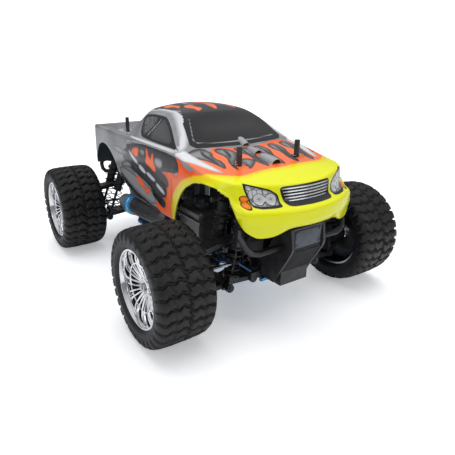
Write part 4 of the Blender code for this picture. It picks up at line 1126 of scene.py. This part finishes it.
floor_mesh = bpy.data.meshes.new("floor")
reach = 14.0
floor_mesh.from_pydata([(-reach, -reach, -0.0002), (reach, -reach, -0.0002), (reach, reach, -0.0002), (-reach, reach, -0.0002)], [], [(0, 1, 2, 3)])
floor = bpy.data.objects.new("floor", floor_mesh)
bpy.context.scene.collection.objects.link(floor)
fl = Nodes("pale_floor")
fl.set(Base_Color=fl.mix(fl.remap(fl.noise(3.0, 3.0), 0.3, 0.7, 0.0, 1.0), (0.90, 0.905, 0.915), (0.93, 0.935, 0.94)), Metallic=0.0,
       Roughness=fl.remap(fl.noise(40.0, 3.0), 0.3, 0.7, 0.45, 0.6))
fl.shader.inputs["Specular IOR Level"].default_value = 0.25
# painted light: the floor glows to camera rays only, weakly near the truck and more strongly away from it, so the far
# floor turns white
glow = fl.new("ShaderNodeEmission")
glow.inputs[0].default_value = (0.97, 0.985, 1.0, 1.0)
place = fl.new("ShaderNodeVectorMath", operation="LENGTH")
fl.link(fl.coord.outputs["Object"], place.inputs[0])
seen = fl.new("ShaderNodeLightPath")
fl.link(fl.math("MULTIPLY", seen.outputs["Is Camera Ray"], fl.remap(place.outputs["Value"], 0.15, 1.6, 0.34, 0.80, True)), glow.inputs[1])
both = fl.new("ShaderNodeAddShader")
fl.link(fl.shader.outputs[0], both.inputs[0])
fl.link(glow.outputs[0], both.inputs[1])
fl.link(both.outputs[0], fl.tree.nodes["Material Output"].inputs["Surface"])
floor_mesh.materials.append(fl.mat)

wd = bpy.data.worlds.new("studio")
bpy.context.scene.world = wd
wd.use_nodes = True
wt = wd.node_tree
wt.nodes.clear()
out = wt.nodes.new("ShaderNodeOutputWorld")
see = wt.nodes.new("ShaderNodeBackground")
see.inputs[0].default_value = (1, 1, 1, 1)
see.inputs[1].default_value = 1.05
env = wt.nodes.new("ShaderNodeBackground")
env.inputs[1].default_value = 0.72
tc = wt.nodes.new("ShaderNodeTexCoord")
sp = wt.nodes.new("ShaderNodeSeparateXYZ")
wt.links.new(tc.outputs["Generated"], sp.inputs[0])
cr = wt.nodes.new("ShaderNodeValToRGB")
cr.color_ramp.elements[0].position = 0.0
cr.color_ramp.elements[0].color = (0.34, 0.35, 0.37, 1)
cr.color_ramp.elements[1].position = 1.0
cr.color_ramp.elements[1].color = (0.95, 0.96, 1.0, 1)
el = cr.color_ramp.elements.new(0.30)
el.color = (0.30, 0.31, 0.33, 1)
el = cr.color_ramp.elements.new(0.60)
el.color = (0.62, 0.63, 0.65, 1)
wt.links.new(sp.outputs[2], cr.inputs[0])
wt.links.new(cr.outputs[0], env.inputs[0])
lp = wt.nodes.new("ShaderNodeLightPath")
mx = wt.nodes.new("ShaderNodeMixShader")
wt.links.new(lp.outputs["Is Camera Ray"], mx.inputs[0])
wt.links.new(env.outputs[0], mx.inputs[1])
wt.links.new(see.outputs[0], mx.inputs[2])
wt.links.new(mx.outputs[0], out.inputs[0])


def area(name, place, target, size, size_y, power, colour=(1, 1, 1)):
    data = bpy.data.lights.new(name, "AREA")
    data.shape = "RECTANGLE"
    data.size, data.size_y = size, size_y
    data.energy = power
    data.color = colour
    obj = bpy.data.objects.new(name, data)
    bpy.context.scene.collection.objects.link(obj)
    obj.location = place
    obj.rotation_euler = (Vector(target) - Vector(place)).to_track_quat("-Z", "Y").to_euler()
    return obj


key = area("top_soft", (0.1, 0.1, 1.5), (0, 0, 0.1), 1.7, 1.5, 17)
key.visible_glossy = False
area("left_soft", (-1.4, -0.5, 0.9), (0, 0, 0.1), 1.0, 1.0, 4.0)
area("front_soft", (0.7, -1.6, 0.9), (0, 0, 0.1), 1.0, 0.8, 3.5)
rear = area("back_soft", (0.9, 1.3, 0.9), (0, 0, 0.1), 1.2, 0.8, 5.0)
rear.visible_glossy = False

az, el_, roll = math.radians(-32.089), math.radians(19.917), math.radians(-0.186)
back = Vector((math.sin(az) * math.cos(el_), -math.cos(az) * math.cos(el_), math.sin(el_)))
right0 = Vector((0, 0, 1)).cross(back).normalized()
up0 = back.cross(right0)
right = right0 * math.cos(roll) + up0 * math.sin(roll)
up = up0 * math.cos(roll) - right0 * math.sin(roll)
cam_data = bpy.data.cameras.new("camera")
cam_data.sensor_width = 36.0
cam_data.lens = 34.234
cam_data.shift_x = 0.0634
cam_data.shift_y = -0.0270
cam_data.clip_start = 0.01
cam_data.clip_end = 60.0
cam = bpy.data.objects.new("camera", cam_data)
bpy.context.scene.collection.objects.link(cam)
turn = Matrix((right, up, back)).transposed()
cam.matrix_world = Matrix.Translation((-0.29077, -0.45948, 0.25832)) @ turn.to_4x4()
bpy.context.scene.camera = cam
bpy.context.scene.view_settings.view_transform = "Standard"
